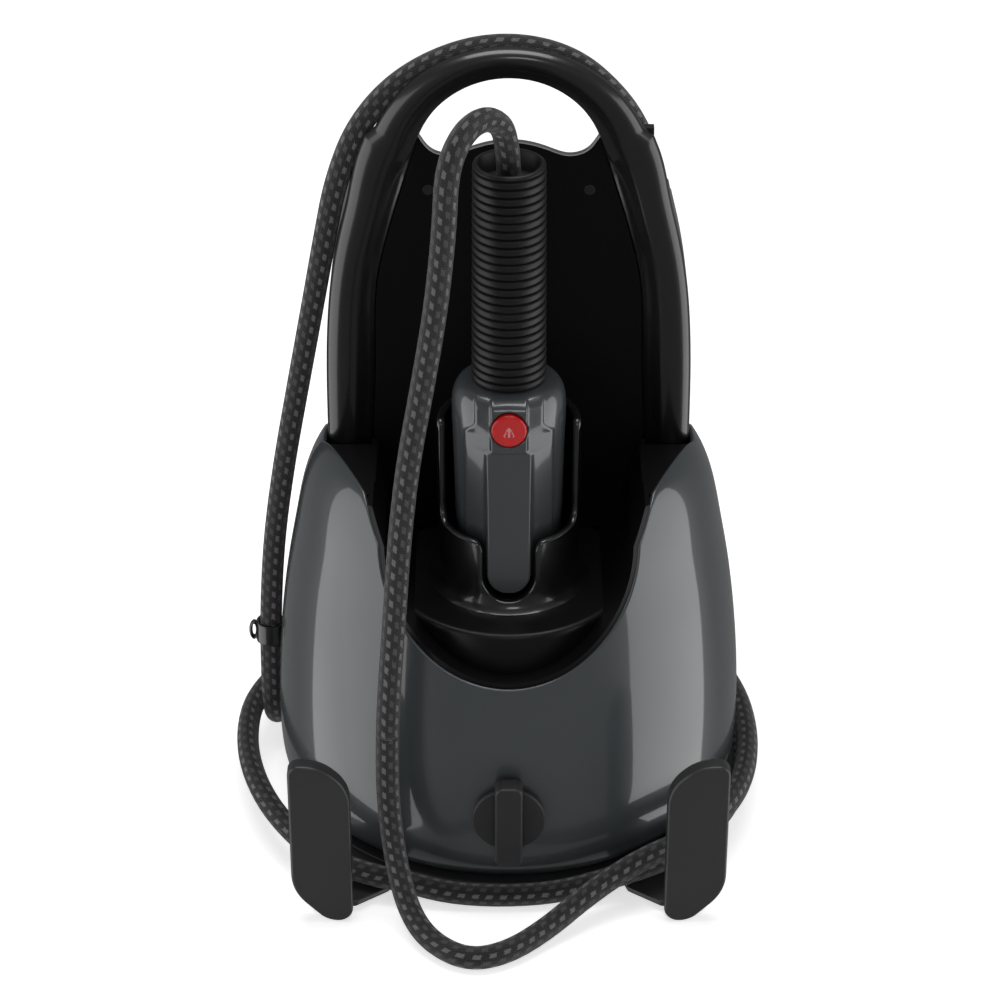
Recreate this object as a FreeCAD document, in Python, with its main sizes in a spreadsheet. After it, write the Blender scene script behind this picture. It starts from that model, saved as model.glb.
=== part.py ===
# Wallpaper steamer: an egg-shaped base with a docked steam head, a carrying arch and a wrapped steam hose.
# Millimetres. +X is to the right when you look at its front, +Y towards its back, +Z up.
# The origin is on the floor under the middle of the base.
import FreeCAD, Part
import math
import os
from types import SimpleNamespace

import Sketcher

drivingSizes = {
    # egg-shaped outer shell
    "shellWall": 3.0,
    "shellDepthShare": 0.92,
    "shellBottom": 8.0,
    "shellTopCut": 221.0,
    "railFoot": 214.0,
    # U-shaped recess in its front
    "recessRadius": 69.0,
    "recessCentreHeight": 205.0,
    "recessTopHalfWidth": 77.5,
    "linerWall": 2.6,
    "fitGap": 0.4,
    # dock
    "dockY": 40.0,
    "drumRadius": 66.0,
    "ledgeHeight": 163.0,
    "cupRadius": 38.5,
    "cupBore": 34.0,
    "cupFrontHeight": 203.0,
    "cupEarHeight": 261.0,
    "cupNotchHalfWidth": 14.6,
    "cupNotchBottom": 168.0,
    # handle arch
    "archCentreHeight": 375.0,
    "archRadius": 77.0,
    "archGrooveRadius": 65.2,
    "archHollowRadius": 60.0,
    "archInnerRadius": 50.0,
    "archInnerCentreHeight": 385.0,
    "handleDepth": 34.0,
    "handleSplit": 17.0,
    "handleWall": 3.0,
    "coverTop": 368.0,
    "panelFace": 6.0,
    "panelBack": 11.0,
    # base and hooks
    "trayBottom": 3.0,
    "trayTop": 10.0,
    "armTop": 6.5,
    "hookFace": 140.0,
    "hookThickness": 8.0,
    "hookInner": 85.0,
    "hookOuter": 118.0,
    "hookBottom": 1.0,
    "hookTop": 104.0,
    "footRadius": 9.0,
    # control knob
    "knobHeight": 57.0,
    "knobRadius": 19.8,
    "knobBarHalfLength": 26.0,
    "knobBarWidth": 15.0,
    "knobBack": 121.4,
    "knobDiscFace": 125.0,
    "knobBarFace": 133.0,
    "shaftRadius": 3.0,
    "runningGap": 0.06,
    # hand piece
    "headBottom": 172.0,
    "headShoulder": 284.5,
    "headRadius": 30.5,
    "headWall": 2.4,
    "buttonHeight": 270.0,
    "buttonRadius": 9.3,
    "sleeveRadius": 19.6,
    "sleeveBottom": 285.0,
    "sleeveTop": 409.0,
    "sleeveBore": 15.6,
    "ribPitch": 4.65,
    "ribGroove": 1.3,
    # water tank
    "tankHalfWidth": 50.0,
    "tankFront": 42.0,
    "tankBack": 96.0,
    "tankMiddle": 69.0,
    "tankBottom": 170.0,
    "tankTop": 330.0,
    "tankWall": 2.4,
    "wellFloor": 166.0,
    # boiler
    "boilerY": 30.0,
    "boilerRadius": 46.0,
    "boilerBottom": 16.0,
    "boilerTop": 84.0,
    "boilerWall": 2.0,
    # hose
    "hoseDiameter": 12.5,
    "outletX": 66.0,
    "outletY": 62.0,
    "outletTop": 262.0,
}

# Height and half width of the egg's cross sections.
eggSections = [
    (8.0, 120.0),
    (16.0, 126.5),
    (35.0, 131.0),
    (60.0, 131.4),
    (90.0, 130.0),
    (120.0, 127.2),
    (150.0, 123.0),
    (180.0, 117.4),
    (205.0, 111.6),
    (219.0, 105.0),
    (227.0, 97.0),
    (230.0, 88.0),
]

# Half width and height down the arch's legs, outside and inside, below its round top.
archOuterLeg = [
    (70.2, 407.5),
    (76.6, 404.5),
    (80.1, 390),
    (85.2, 367),
    (90.6, 344),
    (95.0, 320),
    (97.5, 296),
    (98.8, 271),
    (99.3, 240),
]
archInnerLeg = [
    (49.2, 394),
    (54.6, 376),
    (60.6, 356),
    (65.4, 338),
    (69.2, 320),
    (71.3, 286),
    (72.6, 245),
    (74.0, 222),
]
# The lower edge of the carrying hole, from its corner to its middle.
holeEdge = [(45.5, 402), (42.9, 396.8), (38, 393), (31, 391.5), (19, 395.5), (9.5, 398), (0, 399)]

# The hose from inside the grip, over its bend and down the front to the joint of its two solids.
riserRoute = [
    (0, -40, 391),
    (0, -40, 424),
    (-9.5, -52, 440),
    (-22, -68, 440),
    (-31, -79, 424),
    (-32.5, -82, 391),
    (-37, -86, 349),
    (-44.5, -89.5, 305),
    (-52.5, -95, 262),
    (-57.5, -103, 218),
    (-60.5, -112.5, 175),
    (-64, -119.5, 133),
    (-64.75, -121.5, 111.5),
]
# From there: the loop on the floor, twice round the base behind the hooks, up the side,
# over the arch and down behind it to the steam outlet.
mainRoute = [
    (-64.75, -121.5, 111.5),
    (-65.5, -123.5, 90),
    (-64.5, -127, 62),
    (-61, -134, 34),
    (-54, -148, 12),
    (-42, -167, 6.8),
    (-22, -182, 6.8),
    (-1, -176, 6.8),
    (20, -158, 8),
    (44, -139, 18),
    (72, -122, 28),
    (98, -108, 30),
    (120, -82, 30),
    (134, -48, 28),
    (139.5, -8, 27),
    (137, 34, 27),
    (124, 75, 27),
    (98, 107, 27),
    (60, 126.5, 27),
    (17, 133.5, 27),
    (-28, 132.5, 27),
    (-70, 121, 27),
    (-106, 99, 27),
    (-133, 68, 27),
    (-150, 32, 28),
    (-152, -8, 28),
    (-145, -45, 27),
    (-130, -78, 24),
    (-107, -103, 17),
    (-80, -116.5, 14.2),
    (-57, -122.5, 13),
    (-32, -126.5, 8),
    (-2, -127.5, 6.8),
    (28, -125.5, 8),
    (57, -119.5, 13.1),
    (92, -101.5, 13.6),
    (116, -72, 13.2),
    (131, -35, 9),
    (135, 5, 8),
    (131, 45, 9),
    (114, 84, 13.1),
    (87, 111, 13.3),
    (58, 125, 13),
    (30, 131.5, 8.5),
    (0, 133, 8),
    (-30, 131.5, 8.5),
    (-58, 125, 13),
    (-87, 111.5, 13.3),
    (-111, 88, 13.1),
    (-128, 62, 9.5),
    (-137, 40, 10),
    (-138, 22, 28),
    (-137.8, 20, 56),
    (-136.8, 20, 96),
    (-133, 20, 146),
    (-125.5, 19.5, 196),
    (-116, 18.5, 246),
    (-106.5, 18, 295),
    (-98, 17, 340),
    (-91.5, 16.2, 372),
    (-79.5, 15.5, 404),
    (-57.5, 15.5, 430),
    (-26, 15.5, 446.5),
    (5, 15.5, 450),
    (34.5, 15.5, 441.5),
    (57, 15.5, 420.5),
    (70.5, 22, 395),
    (75.5, 42, 366),
    (74, 55, 334),
    (68.5, 60.5, 304),
    (66, 62, 278),
    (66, 62, 262),
]

# From the tank's well to the pump, from the pump to the boiler, and from the steam valve to the outlet.
feedRoute = [
    (0, 69, 152),
    (0, 69, 132),
    (38, 60, 114),
    (72, 22, 106),
    (70, -22, 96),
    (68, -35, 78),
    (68, -35, 60),
]
pressureRoute = [(55.5, -35, 60), (55.5, -35, 76), (46, -24, 96), (24, 0, 106), (15, 15, 99), (15, 15, 84)]
steamRoute = [
    (-21, 39, 108),
    (-21, 39, 122),
    (2, 38, 136),
    (40, 40, 144),
    (64, 52, 158),
    (66, 62, 184),
    (66, 62, 208),
]


class Size:
    """A number together with the sheet expression that gives it."""

    def __init__(self, value, text):
        self.value = value
        self.text = text

    def __add__(self, other):
        return Size(self.value + number(other), f"({self.text} + {text(other)})")

    def __radd__(self, other):
        return Size(number(other) + self.value, f"({text(other)} + {self.text})")

    def __sub__(self, other):
        return Size(self.value - number(other), f"({self.text} - {text(other)})")

    def __rsub__(self, other):
        return Size(number(other) - self.value, f"({text(other)} - {self.text})")

    def __mul__(self, other):
        return Size(self.value * number(other), f"({self.text} * {text(other)})")

    __rmul__ = __mul__

    def __truediv__(self, other):
        return Size(self.value / number(other), f"({self.text} / {text(other)})")

    def __neg__(self):
        return Size(-self.value, f"(0 - {self.text})")


def number(amount):
    return amount.value if isinstance(amount, Size) else amount


def text(amount):
    if isinstance(amount, Size):
        return amount.text
    return f"({amount})" if amount < 0 else str(amount)


doc = FreeCAD.newDocument("steamer")
sheet = doc.addObject("Spreadsheet::Sheet", "Sizes")
for row, (sizeName, sizeValue) in enumerate(drivingSizes.items(), 1):
    sheet.set(f"A{row}", sizeName)
    sheet.set(f"B{row}", str(sizeValue))
    sheet.setAlias(f"B{row}", sizeName)
doc.recompute()
s = SimpleNamespace(**{name: Size(value, f"Sizes.{name}") for name, value in drivingSizes.items()})
nodes = []


# ---- small builders -------------------------------------------------------------------------------


def bind(item, **properties):
    """Ties properties to sheet expressions; double underscores stand for the dots of a path."""
    for name, amount in properties.items():
        item.setExpression(name.replace("__", "."), text(amount))
    return item


def place(item, x=0, y=0, z=0, turn=None):
    """Moves an object; turn is an axis and an angle in degrees."""
    if turn:
        rotation = FreeCAD.Rotation(FreeCAD.Vector(*turn[0]), turn[1])
        item.Placement = FreeCAD.Placement(FreeCAD.Vector(), rotation)
    return bind(item, Placement__Base__x=x, Placement__Base__y=y, Placement__Base__z=z)


def box(name, x, y, z):
    """x, y and z are pairs: the lowest and highest coordinate."""
    item = doc.addObject("Part::Box", name)
    bind(item, Length=x[1] - x[0], Width=y[1] - y[0], Height=z[1] - z[0])
    return place(item, x[0], y[0], z[0])


def cylinder(name, radius, centre, z, angle=360):
    item = doc.addObject("Part::Cylinder", name)
    bind(item, Radius=radius, Height=z[1] - z[0], Angle=angle)
    return place(item, centre[0], centre[1], z[0])


def frontCylinder(name, radius, centre, y):
    """A cylinder along Y; centre is its x and z, and y its lowest and highest coordinate."""
    item = doc.addObject("Part::Cylinder", name)
    bind(item, Radius=radius, Height=y[1] - y[0])
    return place(item, centre[0], y[0], centre[1], ((1, 0, 0), -90))


def cut(name, base, *tools):
    tool = tools[0] if len(tools) == 1 else fuse(name + "Tools", *tools)
    item = doc.addObject("Part::Cut", name)
    item.Base = base
    item.Tool = tool
    return item


def fuse(name, *shapes):
    item = doc.addObject("Part::MultiFuse", name)
    item.Shapes = list(shapes)
    return item


def common(name, *shapes):
    item = doc.addObject("Part::MultiCommon", name)
    item.Shapes = list(shapes)
    return item


def group(name, *shapes):
    """Separate solids that share one node."""
    item = doc.addObject("Part::Compound", name)
    item.Links = list(shapes)
    return item


def keep(item, name):
    item.Label = name
    nodes.append(item)
    return item


def sketchOn(body, role, offset=0):
    """A sketch on one of the body's own origin planes, moved along the plane's normal."""
    plane = [feature for feature in body.Origin.OriginFeatures if feature.Role == role][0]
    sketch = body.newObject("Sketcher::SketchObject", body.Name + "Sketch")
    sketch.AttachmentSupport = [(plane, "")]
    sketch.MapMode = "FlatFace"
    return bind(sketch, AttachmentOffset__Base__z=offset)


def fixPoint(sketch, geometry, point, x, y):
    for kind, amount in (("DistanceX", x), ("DistanceY", y)):
        constraint = sketch.addConstraint(Sketcher.Constraint(kind, -1, 1, geometry, point, number(amount)))
        sketch.setExpression(f"Constraints[{constraint}]", text(amount))


def drawOutline(sketch, points):
    """A closed outline of straight lines through points."""
    spots = [FreeCAD.Vector(number(x), number(y), 0) for x, y in points]
    count = len(points)
    lines = [sketch.addGeometry(Part.LineSegment(spots[i], spots[(i + 1) % count])) for i in range(count)]
    for i in range(count):
        sketch.addConstraint(Sketcher.Constraint("Coincident", lines[i], 2, lines[(i + 1) % count], 1))
    for line, (x, y) in zip(lines, points):
        fixPoint(sketch, line, 1, x, y)


def drawCircle(sketch, x, y, radius):
    centre = FreeCAD.Vector(number(x), number(y), 0)
    circle = sketch.addGeometry(Part.Circle(centre, FreeCAD.Vector(0, 0, 1), number(radius)))
    constraint = sketch.addConstraint(Sketcher.Constraint("Radius", circle, number(radius)))
    sketch.setExpression(f"Constraints[{constraint}]", text(radius))
    fixPoint(sketch, circle, 3, x, y)


def plate(name, points, z, circles=()):
    """A body padded up from an outline in plan, between two heights, with round holes (x, y, radius)."""
    body = doc.addObject("PartDesign::Body", name)
    sketch = sketchOn(body, "XY_Plane", z[0])
    drawOutline(sketch, points)
    for hole in circles:
        drawCircle(sketch, *hole)
    pad = body.newObject("PartDesign::Pad", name + "Pad")
    pad.Profile = sketch
    bind(pad, Length=z[1] - z[0])
    return body


def frontPlate(name, points, y, circles=()):
    """A body padded along +Y from an outline in x and z, with round holes (x, z, radius)."""
    body = doc.addObject("PartDesign::Body", name)
    sketch = sketchOn(body, "XZ_Plane", -y[0] if isinstance(y[0], Size) else -1 * y[0])
    drawOutline(sketch, points)
    for hole in circles:
        drawCircle(sketch, *hole)
    pad = body.newObject("PartDesign::Pad", name + "Pad")
    pad.Profile = sketch
    pad.Reversed = True
    bind(pad, Length=y[1] - y[0])
    return body


def turned(name, profile, x=0, y=0, z=0, turn=None):
    """A body turned about an upright axis from (radius, height) points, then placed."""
    body = doc.addObject("PartDesign::Body", name)
    sketch = sketchOn(body, "XZ_Plane")
    drawOutline(sketch, profile)
    revolution = body.newObject("PartDesign::Revolution", name + "Revolution")
    revolution.Profile = sketch
    revolution.ReferenceAxis = (sketch, ["V_Axis"])
    revolution.Angle = 360
    place(body, x, y, z, turn)
    return body


def roundEdges(body, radius, wanted):
    """Rounds the edges of the body's last feature that the test picks."""
    doc.recompute()
    tip = body.Tip
    names = [f"Edge{i}" for i, edge in enumerate(tip.Shape.Edges, 1) if wanted(edge)]
    fillet = body.newObject("PartDesign::Fillet", body.Name + "Fillet")
    fillet.Base = (tip, names)
    bind(fillet, Radius=radius)
    return body


def along(axis):
    """Picks straight edges that run along X, Y or Z (0, 1 or 2)."""

    def test(edge):
        if not isinstance(edge.Curve, Part.Line):
            return False
        return abs(edge.tangentAt(edge.FirstParameter)[axis]) > 0.999

    return test


def arcPoints(centre, radius, first, last, count):
    """Points on an arc in x and z, with angles in degrees from +X."""
    points = []
    for i in range(count + 1):
        angle = math.radians(first + (last - first) * i / count)
        points.append((centre[0] + radius * math.cos(angle), centre[1] + radius * math.sin(angle)))
    return points


def egg(name, inset, bottom=None):
    """The egg solid: a smooth loft through its elliptical cross sections, each inset by the same amount."""
    sections = []
    for i, (height, halfWidth) in enumerate(eggSections):
        ellipse = doc.addObject("Part::Ellipse", f"{name}Section{i}")
        half = halfWidth - inset
        level = bottom if (bottom is not None and i == 0) else height
        if i == len(eggSections) - 1:
            level = height - inset
        bind(ellipse, MajorRadius=half, MinorRadius=half * s.shellDepthShare, Placement__Base__z=level)
        sections.append(ellipse)
    loft = doc.addObject("Part::Loft", name)
    loft.Sections = sections
    loft.Solid = True
    loft.Ruled = False
    return loft


def tubePath(points):
    """Straight runs joined by tangent arcs, each as large as its runs allow. Returns the wire and the radii."""
    spots = [FreeCAD.Vector(*point) for point in points]
    edges, radii, start = [], [], spots[0]
    for before, corner, after in zip(spots, spots[1:], spots[2:]):
        incoming = (corner - before).normalize()
        outgoing = (after - corner).normalize()
        reach = 0.45 * min((corner - before).Length, (after - corner).Length)
        halfTurn = incoming.getAngle(outgoing) / 2
        radius = reach / math.tan(halfTurn)
        radii.append(radius)
        first = corner - incoming * reach
        last = corner + outgoing * reach
        inward = (outgoing - incoming).normalize()
        middle = corner + inward * (radius / math.cos(halfTurn) - radius)
        edges.append(Part.LineSegment(start, first).toShape())
        edges.append(Part.Arc(first, middle, last).toShape())
        start = last
    edges.append(Part.LineSegment(start, spots[-1]).toShape())
    return Part.Wire(edges), radii


def cordSolid(name, points, diameter, bore=0):
    """A tube along a route, checked against its section times its length."""
    wire, radii = tubePath(points)
    direction = FreeCAD.Vector(*points[1]) - FreeCAD.Vector(*points[0])
    circle = Part.Circle(FreeCAD.Vector(*points[0]), direction, diameter / 2)
    solid = wire.makePipeShell([Part.Wire(circle.toShape())], True, True)
    expected = math.pi * diameter**2 / 4 * wire.Length
    share = solid.Volume / expected
    print(f"{name}: length {wire.Length:.0f}, volume share {share:.4f}, least radius {min(radii):.1f}")
    print("   radii", " ".join(f"{radius:.0f}" for radius in radii))
    if bore:
        inner = Part.Circle(FreeCAD.Vector(*points[0]), direction, bore / 2)
        solid = solid.cut(wire.makePipeShell([Part.Wire(inner.toShape())], True, True))
    item = doc.addObject("Part::Feature", name)
    item.Shape = solid
    return item


# ---- base -----------------------------------------------------------------------------------------


def hookOutline(side):
    """The upright paddle: large roundings at the inner top and the outer bottom."""
    inner, outer, low, high = (number(v) for v in (s.hookInner, s.hookOuter, s.hookBottom, s.hookTop))
    points = arcPoints((outer - 6, high - 6), 6, 0, 90, 4)
    points += arcPoints((inner + 18, high - 18), 18, 90, 180, 6)
    points += arcPoints((inner + 8, low + 8), 8, 180, 250, 3)
    points += arcPoints((outer - 24, low + 24), 24, 285, 360, 6)
    return [(side * x, z) for x, z in points]


def buildHooks():
    names = {
        (-1, -1): "front_left_hook",
        (1, -1): "front_right_hook",
        (-1, 1): "rear_left_hook",
        (1, 1): "rear_right_hook",
    }
    for (side, back), name in names.items():
        near, far = s.hookFace - s.hookThickness, s.hookFace
        depth = (near, far) if back > 0 else (-far, -near)
        keep(frontPlate(name, hookOutline(side), depth), name)


def armOutline(side, back):
    """The foot that carries one hook, in plan."""
    corner = s.hookFace - s.hookThickness
    points = [(50, 60), (58, 96), (66, 119), (84, corner)]
    points += [(s.hookOuter - 3, corner), (s.hookOuter, 108), (104, 60), (96, 40)]
    return [(side * x, back * y) for x, y in points]


def buildBase():
    lower = doc.addObject("Part::Ellipse", "trayLower")
    upper = doc.addObject("Part::Ellipse", "trayUpper")
    for ellipse, level in ((lower, s.trayBottom), (upper, s.trayTop)):
        bind(ellipse, MajorRadius=115, MinorRadius=115 * s.shellDepthShare, Placement__Base__z=level)
    floor = doc.addObject("Part::Loft", "trayFloor")
    floor.Sections = [lower, upper]
    floor.Solid = True
    arms = []
    for side in (-1, 1):
        for back in (-1, 1):
            outline = armOutline(side, back)
            arms.append(plate(f"arm{side + 1}{back + 1}", outline, (s.trayBottom, s.armTop)))
    holes = []
    for i, (x, y) in enumerate(screwSpots()):
        holes.append(cylinder(f"trayHole{i}", 2.1, (x, y), (0, 20)))
        holes.append(cylinder(f"trayCounterbore{i}", 4.2, (x, y), (0, 6)))
    keep(cut("baseTray", fuse("traySolid", floor, *arms), *holes), "base_tray")
    spots = [(x, y) for x in (-78, 78) for y in (-62, 62)]
    feet = [cylinder(f"foot{x}{y}", s.footRadius, (x, y), (0, s.trayBottom)) for x, y in spots]
    keep(group("rubberFeet", *feet), "rubber_feet")
    screws = []
    for i, (x, y) in enumerate(screwSpots()):
        profile = [(0, 3.4), (3.9, 3.4), (3.9, 6), (1.9, 6), (1.9, 24), (0, 26)]
        screws.append(turned(f"baseScrew{i}", profile, x, y))
    keep(group("baseScrews", *screws), "base_screws")


def screwSpots():
    return [(-110, 0), (110, 0), (0, -99), (0, 99)]


# ---- body -----------------------------------------------------------------------------------------


def recessOutline(shrink):
    """The U in x and z: half a circle below, sides that widen slightly upwards."""
    radius = number(s.recessRadius) - shrink
    top = number(s.recessTopHalfWidth) - shrink
    centre = (0, number(s.recessCentreHeight))
    return [(top, 232)] + arcPoints(centre, radius, 0, -180, 24) + [(-top, 232)]


def topOutline():
    """The opening in the top, in plan: it narrows from the rails of the arch to the recess."""
    right = [(60, -62), (77.6, -57), (92, -23), (98.5, -8), (101.6, -1.2), (101.6, 35.4)]
    return right + [(-x, y) for x, y in reversed(right)]


def buildBodyShell():
    outer = egg("eggOuter", 0)
    inner = egg("eggInner", s.shellWall, s.shellBottom - 1)
    hollow = cut("shellHollow", outer, inner)
    bosses = []
    for i, (x, y) in enumerate(screwSpots()):
        across = (min(x - 5.5, x * 1.3), max(x + 5.5, x * 1.3))
        outward = (min(y - 5.5, y * 1.3), max(y + 5.5, y * 1.3))
        boss = box(f"boss{i}", across, outward, (s.trayTop + 0.2, 34))
        bosses.append(cut(f"bossDrilled{i}", boss, cylinder(f"bossHole{i}", 1.95, (x, y), (0, 28))))
    walls = common("shellBosses", egg("eggForBosses", 0.5), fuse("bosses", *bosses))
    tools = [
        frontPlate("recessTool", recessOutline(0), (-150, 8)),
        plate("topTool", topOutline(), (s.railFoot - 0.5, 240)),
        frontCylinder("knobHole", 6.2, (0, s.knobHeight), (-140, -100)),
        box("wellTool", (-s.tankHalfWidth - 3, s.tankHalfWidth + 3), (39, 130), (s.wellFloor + 24, 240)),
        frontCylinder("glandHole", 7.2, (-55, 48), (90, 130)),
        cylinder("outletHole", 9.2, (s.outletX, s.outletY), (190, 240)),
    ]
    keep(cut("bodyShell", fuse("shellWithBosses", hollow, walls), *tools), "body_shell")


def buildDock():
    inset = egg("eggLiner", s.shellWall * 0.5)
    gap = number(s.fitGap)
    wall = number(s.linerWall)
    channelOuter = frontPlate("channelOuter", recessOutline(gap), (-150, 5.6))
    channelInner = frontPlate("channelInner", recessOutline(gap + wall), (-152, 7))
    channel = cut("channel", channelOuter, channelInner)
    drum = cylinder("drum", s.drumRadius, (0, -s.dockY + 1.5), (120, s.ledgeHeight))
    hollow = cylinder("drumHollow", s.drumRadius - 3, (0, -s.dockY + 1.5), (110, s.ledgeHeight - 3))
    drumShell = cut("drumShell", drum, hollow, cylinder("nozzleHole", 12.5, (0, -s.dockY), (100, 200)))
    filler = frontPlate("recessFiller", recessOutline(gap), (-150, 5.6))
    drumInside = common("drumInside", drumShell, filler)
    step = s.railFoot - 0.3
    shoulder = box("shoulder", (-120, 120), (-90, -0.5), (s.shellTopCut - 3, s.shellTopCut - 0.2))
    riser = box("riser", (-120, 120), (-3, -0.5), (step - 3, s.shellTopCut - 1))
    seat = box("railSeat", (-120, 120), (-1, 34.8), (step - 3, step))
    flange = fuse("flange", shoulder, riser, seat)
    opening = frontPlate("flangeTool", recessOutline(gap), (-152, 12))
    behind = box("flangeBehind", (-71, 71), (4, 50), (step - 4, step + 20))
    flangeCut = cut("flangeCut", flange, opening, behind)
    flangeInside = common("flangeInside", flangeCut, egg("eggFlange", s.shellWall + s.fitGap))
    below = box("channelBelow", (-120, 120), (-150, 20), (100, s.shellTopCut))
    channelInside = common("channelInside", channel, inset, below)
    keep(fuse("dockLiner", channelInside, drumInside, flangeInside), "dock_liner")

    centre = (0, -s.dockY)
    tube = cut(
        "cupTube",
        cylinder("cupOuter", s.cupRadius, centre, (s.ledgeHeight, s.cupEarHeight)),
        cylinder("cupInner", s.cupBore, centre, (s.ledgeHeight + 3, 300)),
    )
    front = box("cupFront", (-60, 60), (-100, -s.dockY - 8), (s.cupFrontHeight, 300))
    notchTop = s.cupNotchBottom + s.cupNotchHalfWidth
    half = s.cupNotchHalfWidth
    notch = [
        box("notchSlot", (-half, half), (-100, -s.dockY - 12), (notchTop, 300)),
        frontCylinder("notchEnd", half, (0, notchTop), (-100, -s.dockY - 12)),
        cylinder("cupNozzleHole", 12.5, centre, (100, 200)),
    ]
    keep(cut("dockCup", tube, front, *notch), "dock_cup")


# ---- handle ---------------------------------------------------------------------------------------


def archOutline(radius, centreHeight, leg, bottom, grow=0):
    """An arch in x and z: a round top on two legs that follow the given points down to the bottom."""
    centre = (0, number(centreHeight))
    r = number(radius) + grow
    first = math.degrees(math.asin((leg[0][1] - centre[1]) / r))
    arc = arcPoints(centre, r, first, 180 - first, 32)
    side = [(x + grow, z) for x, z in leg[1:]]
    side.append((leg[-1][0] + grow, number(bottom)))
    return side[::-1] + arc + [(-x, z) for x, z in side]


def archSector(name, radius, first, last, y):
    """What is outside a radius between two angles of the arch: cut away for the hose."""
    outer = doc.addObject("Part::Cylinder", name + "Outer")
    bind(outer, Radius=100, Height=y[1] - y[0], Angle=last - first)
    start = FreeCAD.Rotation(FreeCAD.Vector(0, 0, 1), first)
    turn = FreeCAD.Rotation(FreeCAD.Vector(1, 0, 0), 90).multiply(start)
    outer.Placement = FreeCAD.Placement(FreeCAD.Vector(), turn)
    bind(outer, Placement__Base__y=y[1], Placement__Base__z=s.archCentreHeight)
    inner = frontCylinder(name + "Inner", radius, (0, s.archCentreHeight), (y[0] - 1, y[1] + 1))
    return cut(name, outer, inner)


def handleHalf(name, y, hollow):
    bottom = s.railFoot
    wall = number(s.handleWall)
    outline = archOutline(s.archRadius, s.archCentreHeight, archOuterLeg, bottom)
    outer = frontPlate(name + "Outer", outline, y)
    inner = archOutline(s.archInnerRadius, s.archInnerCentreHeight, archInnerLeg, 200)
    opening = frontPlate(name + "Opening", inner, (-5, 50))
    # the legs are hollow below the hose groove, and narrower beside it
    hollowLeg = [(60, 376), (63, 372), (67.5, 354), (87.4, 345)]
    hollowLeg += [(x - wall, z) for x, z in archOuterLeg[5:]]
    hollowOutline = archOutline(s.archHollowRadius, s.archCentreHeight, hollowLeg, number(bottom) + wall)
    innerWall = archOutline(s.archInnerRadius, s.archInnerCentreHeight, archInnerLeg, 200, wall)
    tools = [
        opening,
        archSector(name + "Groove", s.archGrooveRadius, -1, 180, (7.5, 23.5)),
        archSector(name + "RearGap", s.archGrooveRadius, -10, 60, (23.4, 50)),
        cut(
            name + "Hollow",
            frontPlate(name + "HollowOuter", hollowOutline, hollow),
            frontPlate(name + "HollowInner", innerWall, (-5, 50)),
        ),
    ]
    return cut(name, outer, *tools)


def innerSide(gap, low, high):
    """Points along the inside of the right leg, between two heights."""
    points = [(x - gap, z) for x, z in archInnerLeg[::-1] if low < z < high]
    return [(widthInside(gap, low), low)] + points + [(widthInside(gap, high), high)]


def widthInside(gap, height):
    """Half the space between the legs at a height."""
    leg = archInnerLeg
    if height <= leg[-1][1]:
        return leg[-1][0] - gap
    for (x, z), (nextX, nextZ) in zip(leg, leg[1:]):
        if z >= height >= nextZ:
            return nextX + (x - nextX) * (height - nextZ) / (z - nextZ) - gap
    return leg[0][0] - gap


def panelOutline():
    """Fills the arch's opening below the carrying hole, then follows the recess down to the dock ledge."""
    gap = 0.3
    joint = number(s.shellTopCut)
    shrink = number(s.fitGap) + number(s.linerWall) + gap
    radius = number(s.recessRadius) - shrink
    centre = number(s.recessCentreHeight)
    ledge = number(s.ledgeHeight) + 0.2
    lowAngle = math.degrees(math.asin((ledge - centre) / radius))
    lower = arcPoints((0, centre), radius, lowAngle, 0, 8)
    shoulder = (radius + 4, joint - 4)
    right = lower + [shoulder] + innerSide(gap, joint + 0.6, 393.9) + holeEdge
    return right + [(-px, pz) for px, pz in reversed(right[:-1])]


def buildHandle():
    front = handleHalf("handleFront", (0, s.handleSplit), (s.handleWall, s.handleSplit + 1))
    keep(front, "handle_front_shell")
    rearHollow = (s.handleSplit - 1, s.handleDepth - s.handleWall)
    keep(handleHalf("handleRear", (s.handleSplit + 0.1, s.handleDepth), rearHollow), "handle_rear_shell")
    holes = [(-43.5, 371, 2.2), (43.5, 371, 2.2)]
    panel = frontPlate("panelPlate", panelOutline(), (s.panelFace, s.panelBack), holes)
    recesses = []
    for i, (x, z, _) in enumerate(holes):
        recesses.append(frontCylinder(f"screwRecess{i}", 4.4, (x, z), (0, s.panelFace + 2.4)))
    keep(cut("backPanel", panel, *recesses), "back_panel")
    screws = []
    for i, (x, z, _) in enumerate(holes):
        profile = [(0, 0), (3.9, 0), (3.9, 2.2), (1.9, 2.4), (1.9, 14), (0, 15.5)]
        screws.append(turned(f"panelScrew{i}", profile, x, s.panelFace, z, ((1, 0, 0), -90)))
    keep(group("panelScrews", *screws), "panel_screws")
    low = number(s.shellTopCut) + 0.5
    top = number(s.coverTop)
    side = innerSide(0.3, low, top)
    cover = frontPlate("coverPlate", side + [(-x, z) for x, z in side[::-1]], (24, 31))
    pocket = box("coverPocket", (-44, 44), (20, 28), (low + 4, top - 4))
    keep(cut("rearCover", cover, pocket), "rear_cover")
    insert = box("insertBlock", (70.4, 75.6), (8, 13.2), (399, 406))
    keep(insert, "hose_insert")


# ---- control knob ---------------------------------------------------------------------------------


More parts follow.
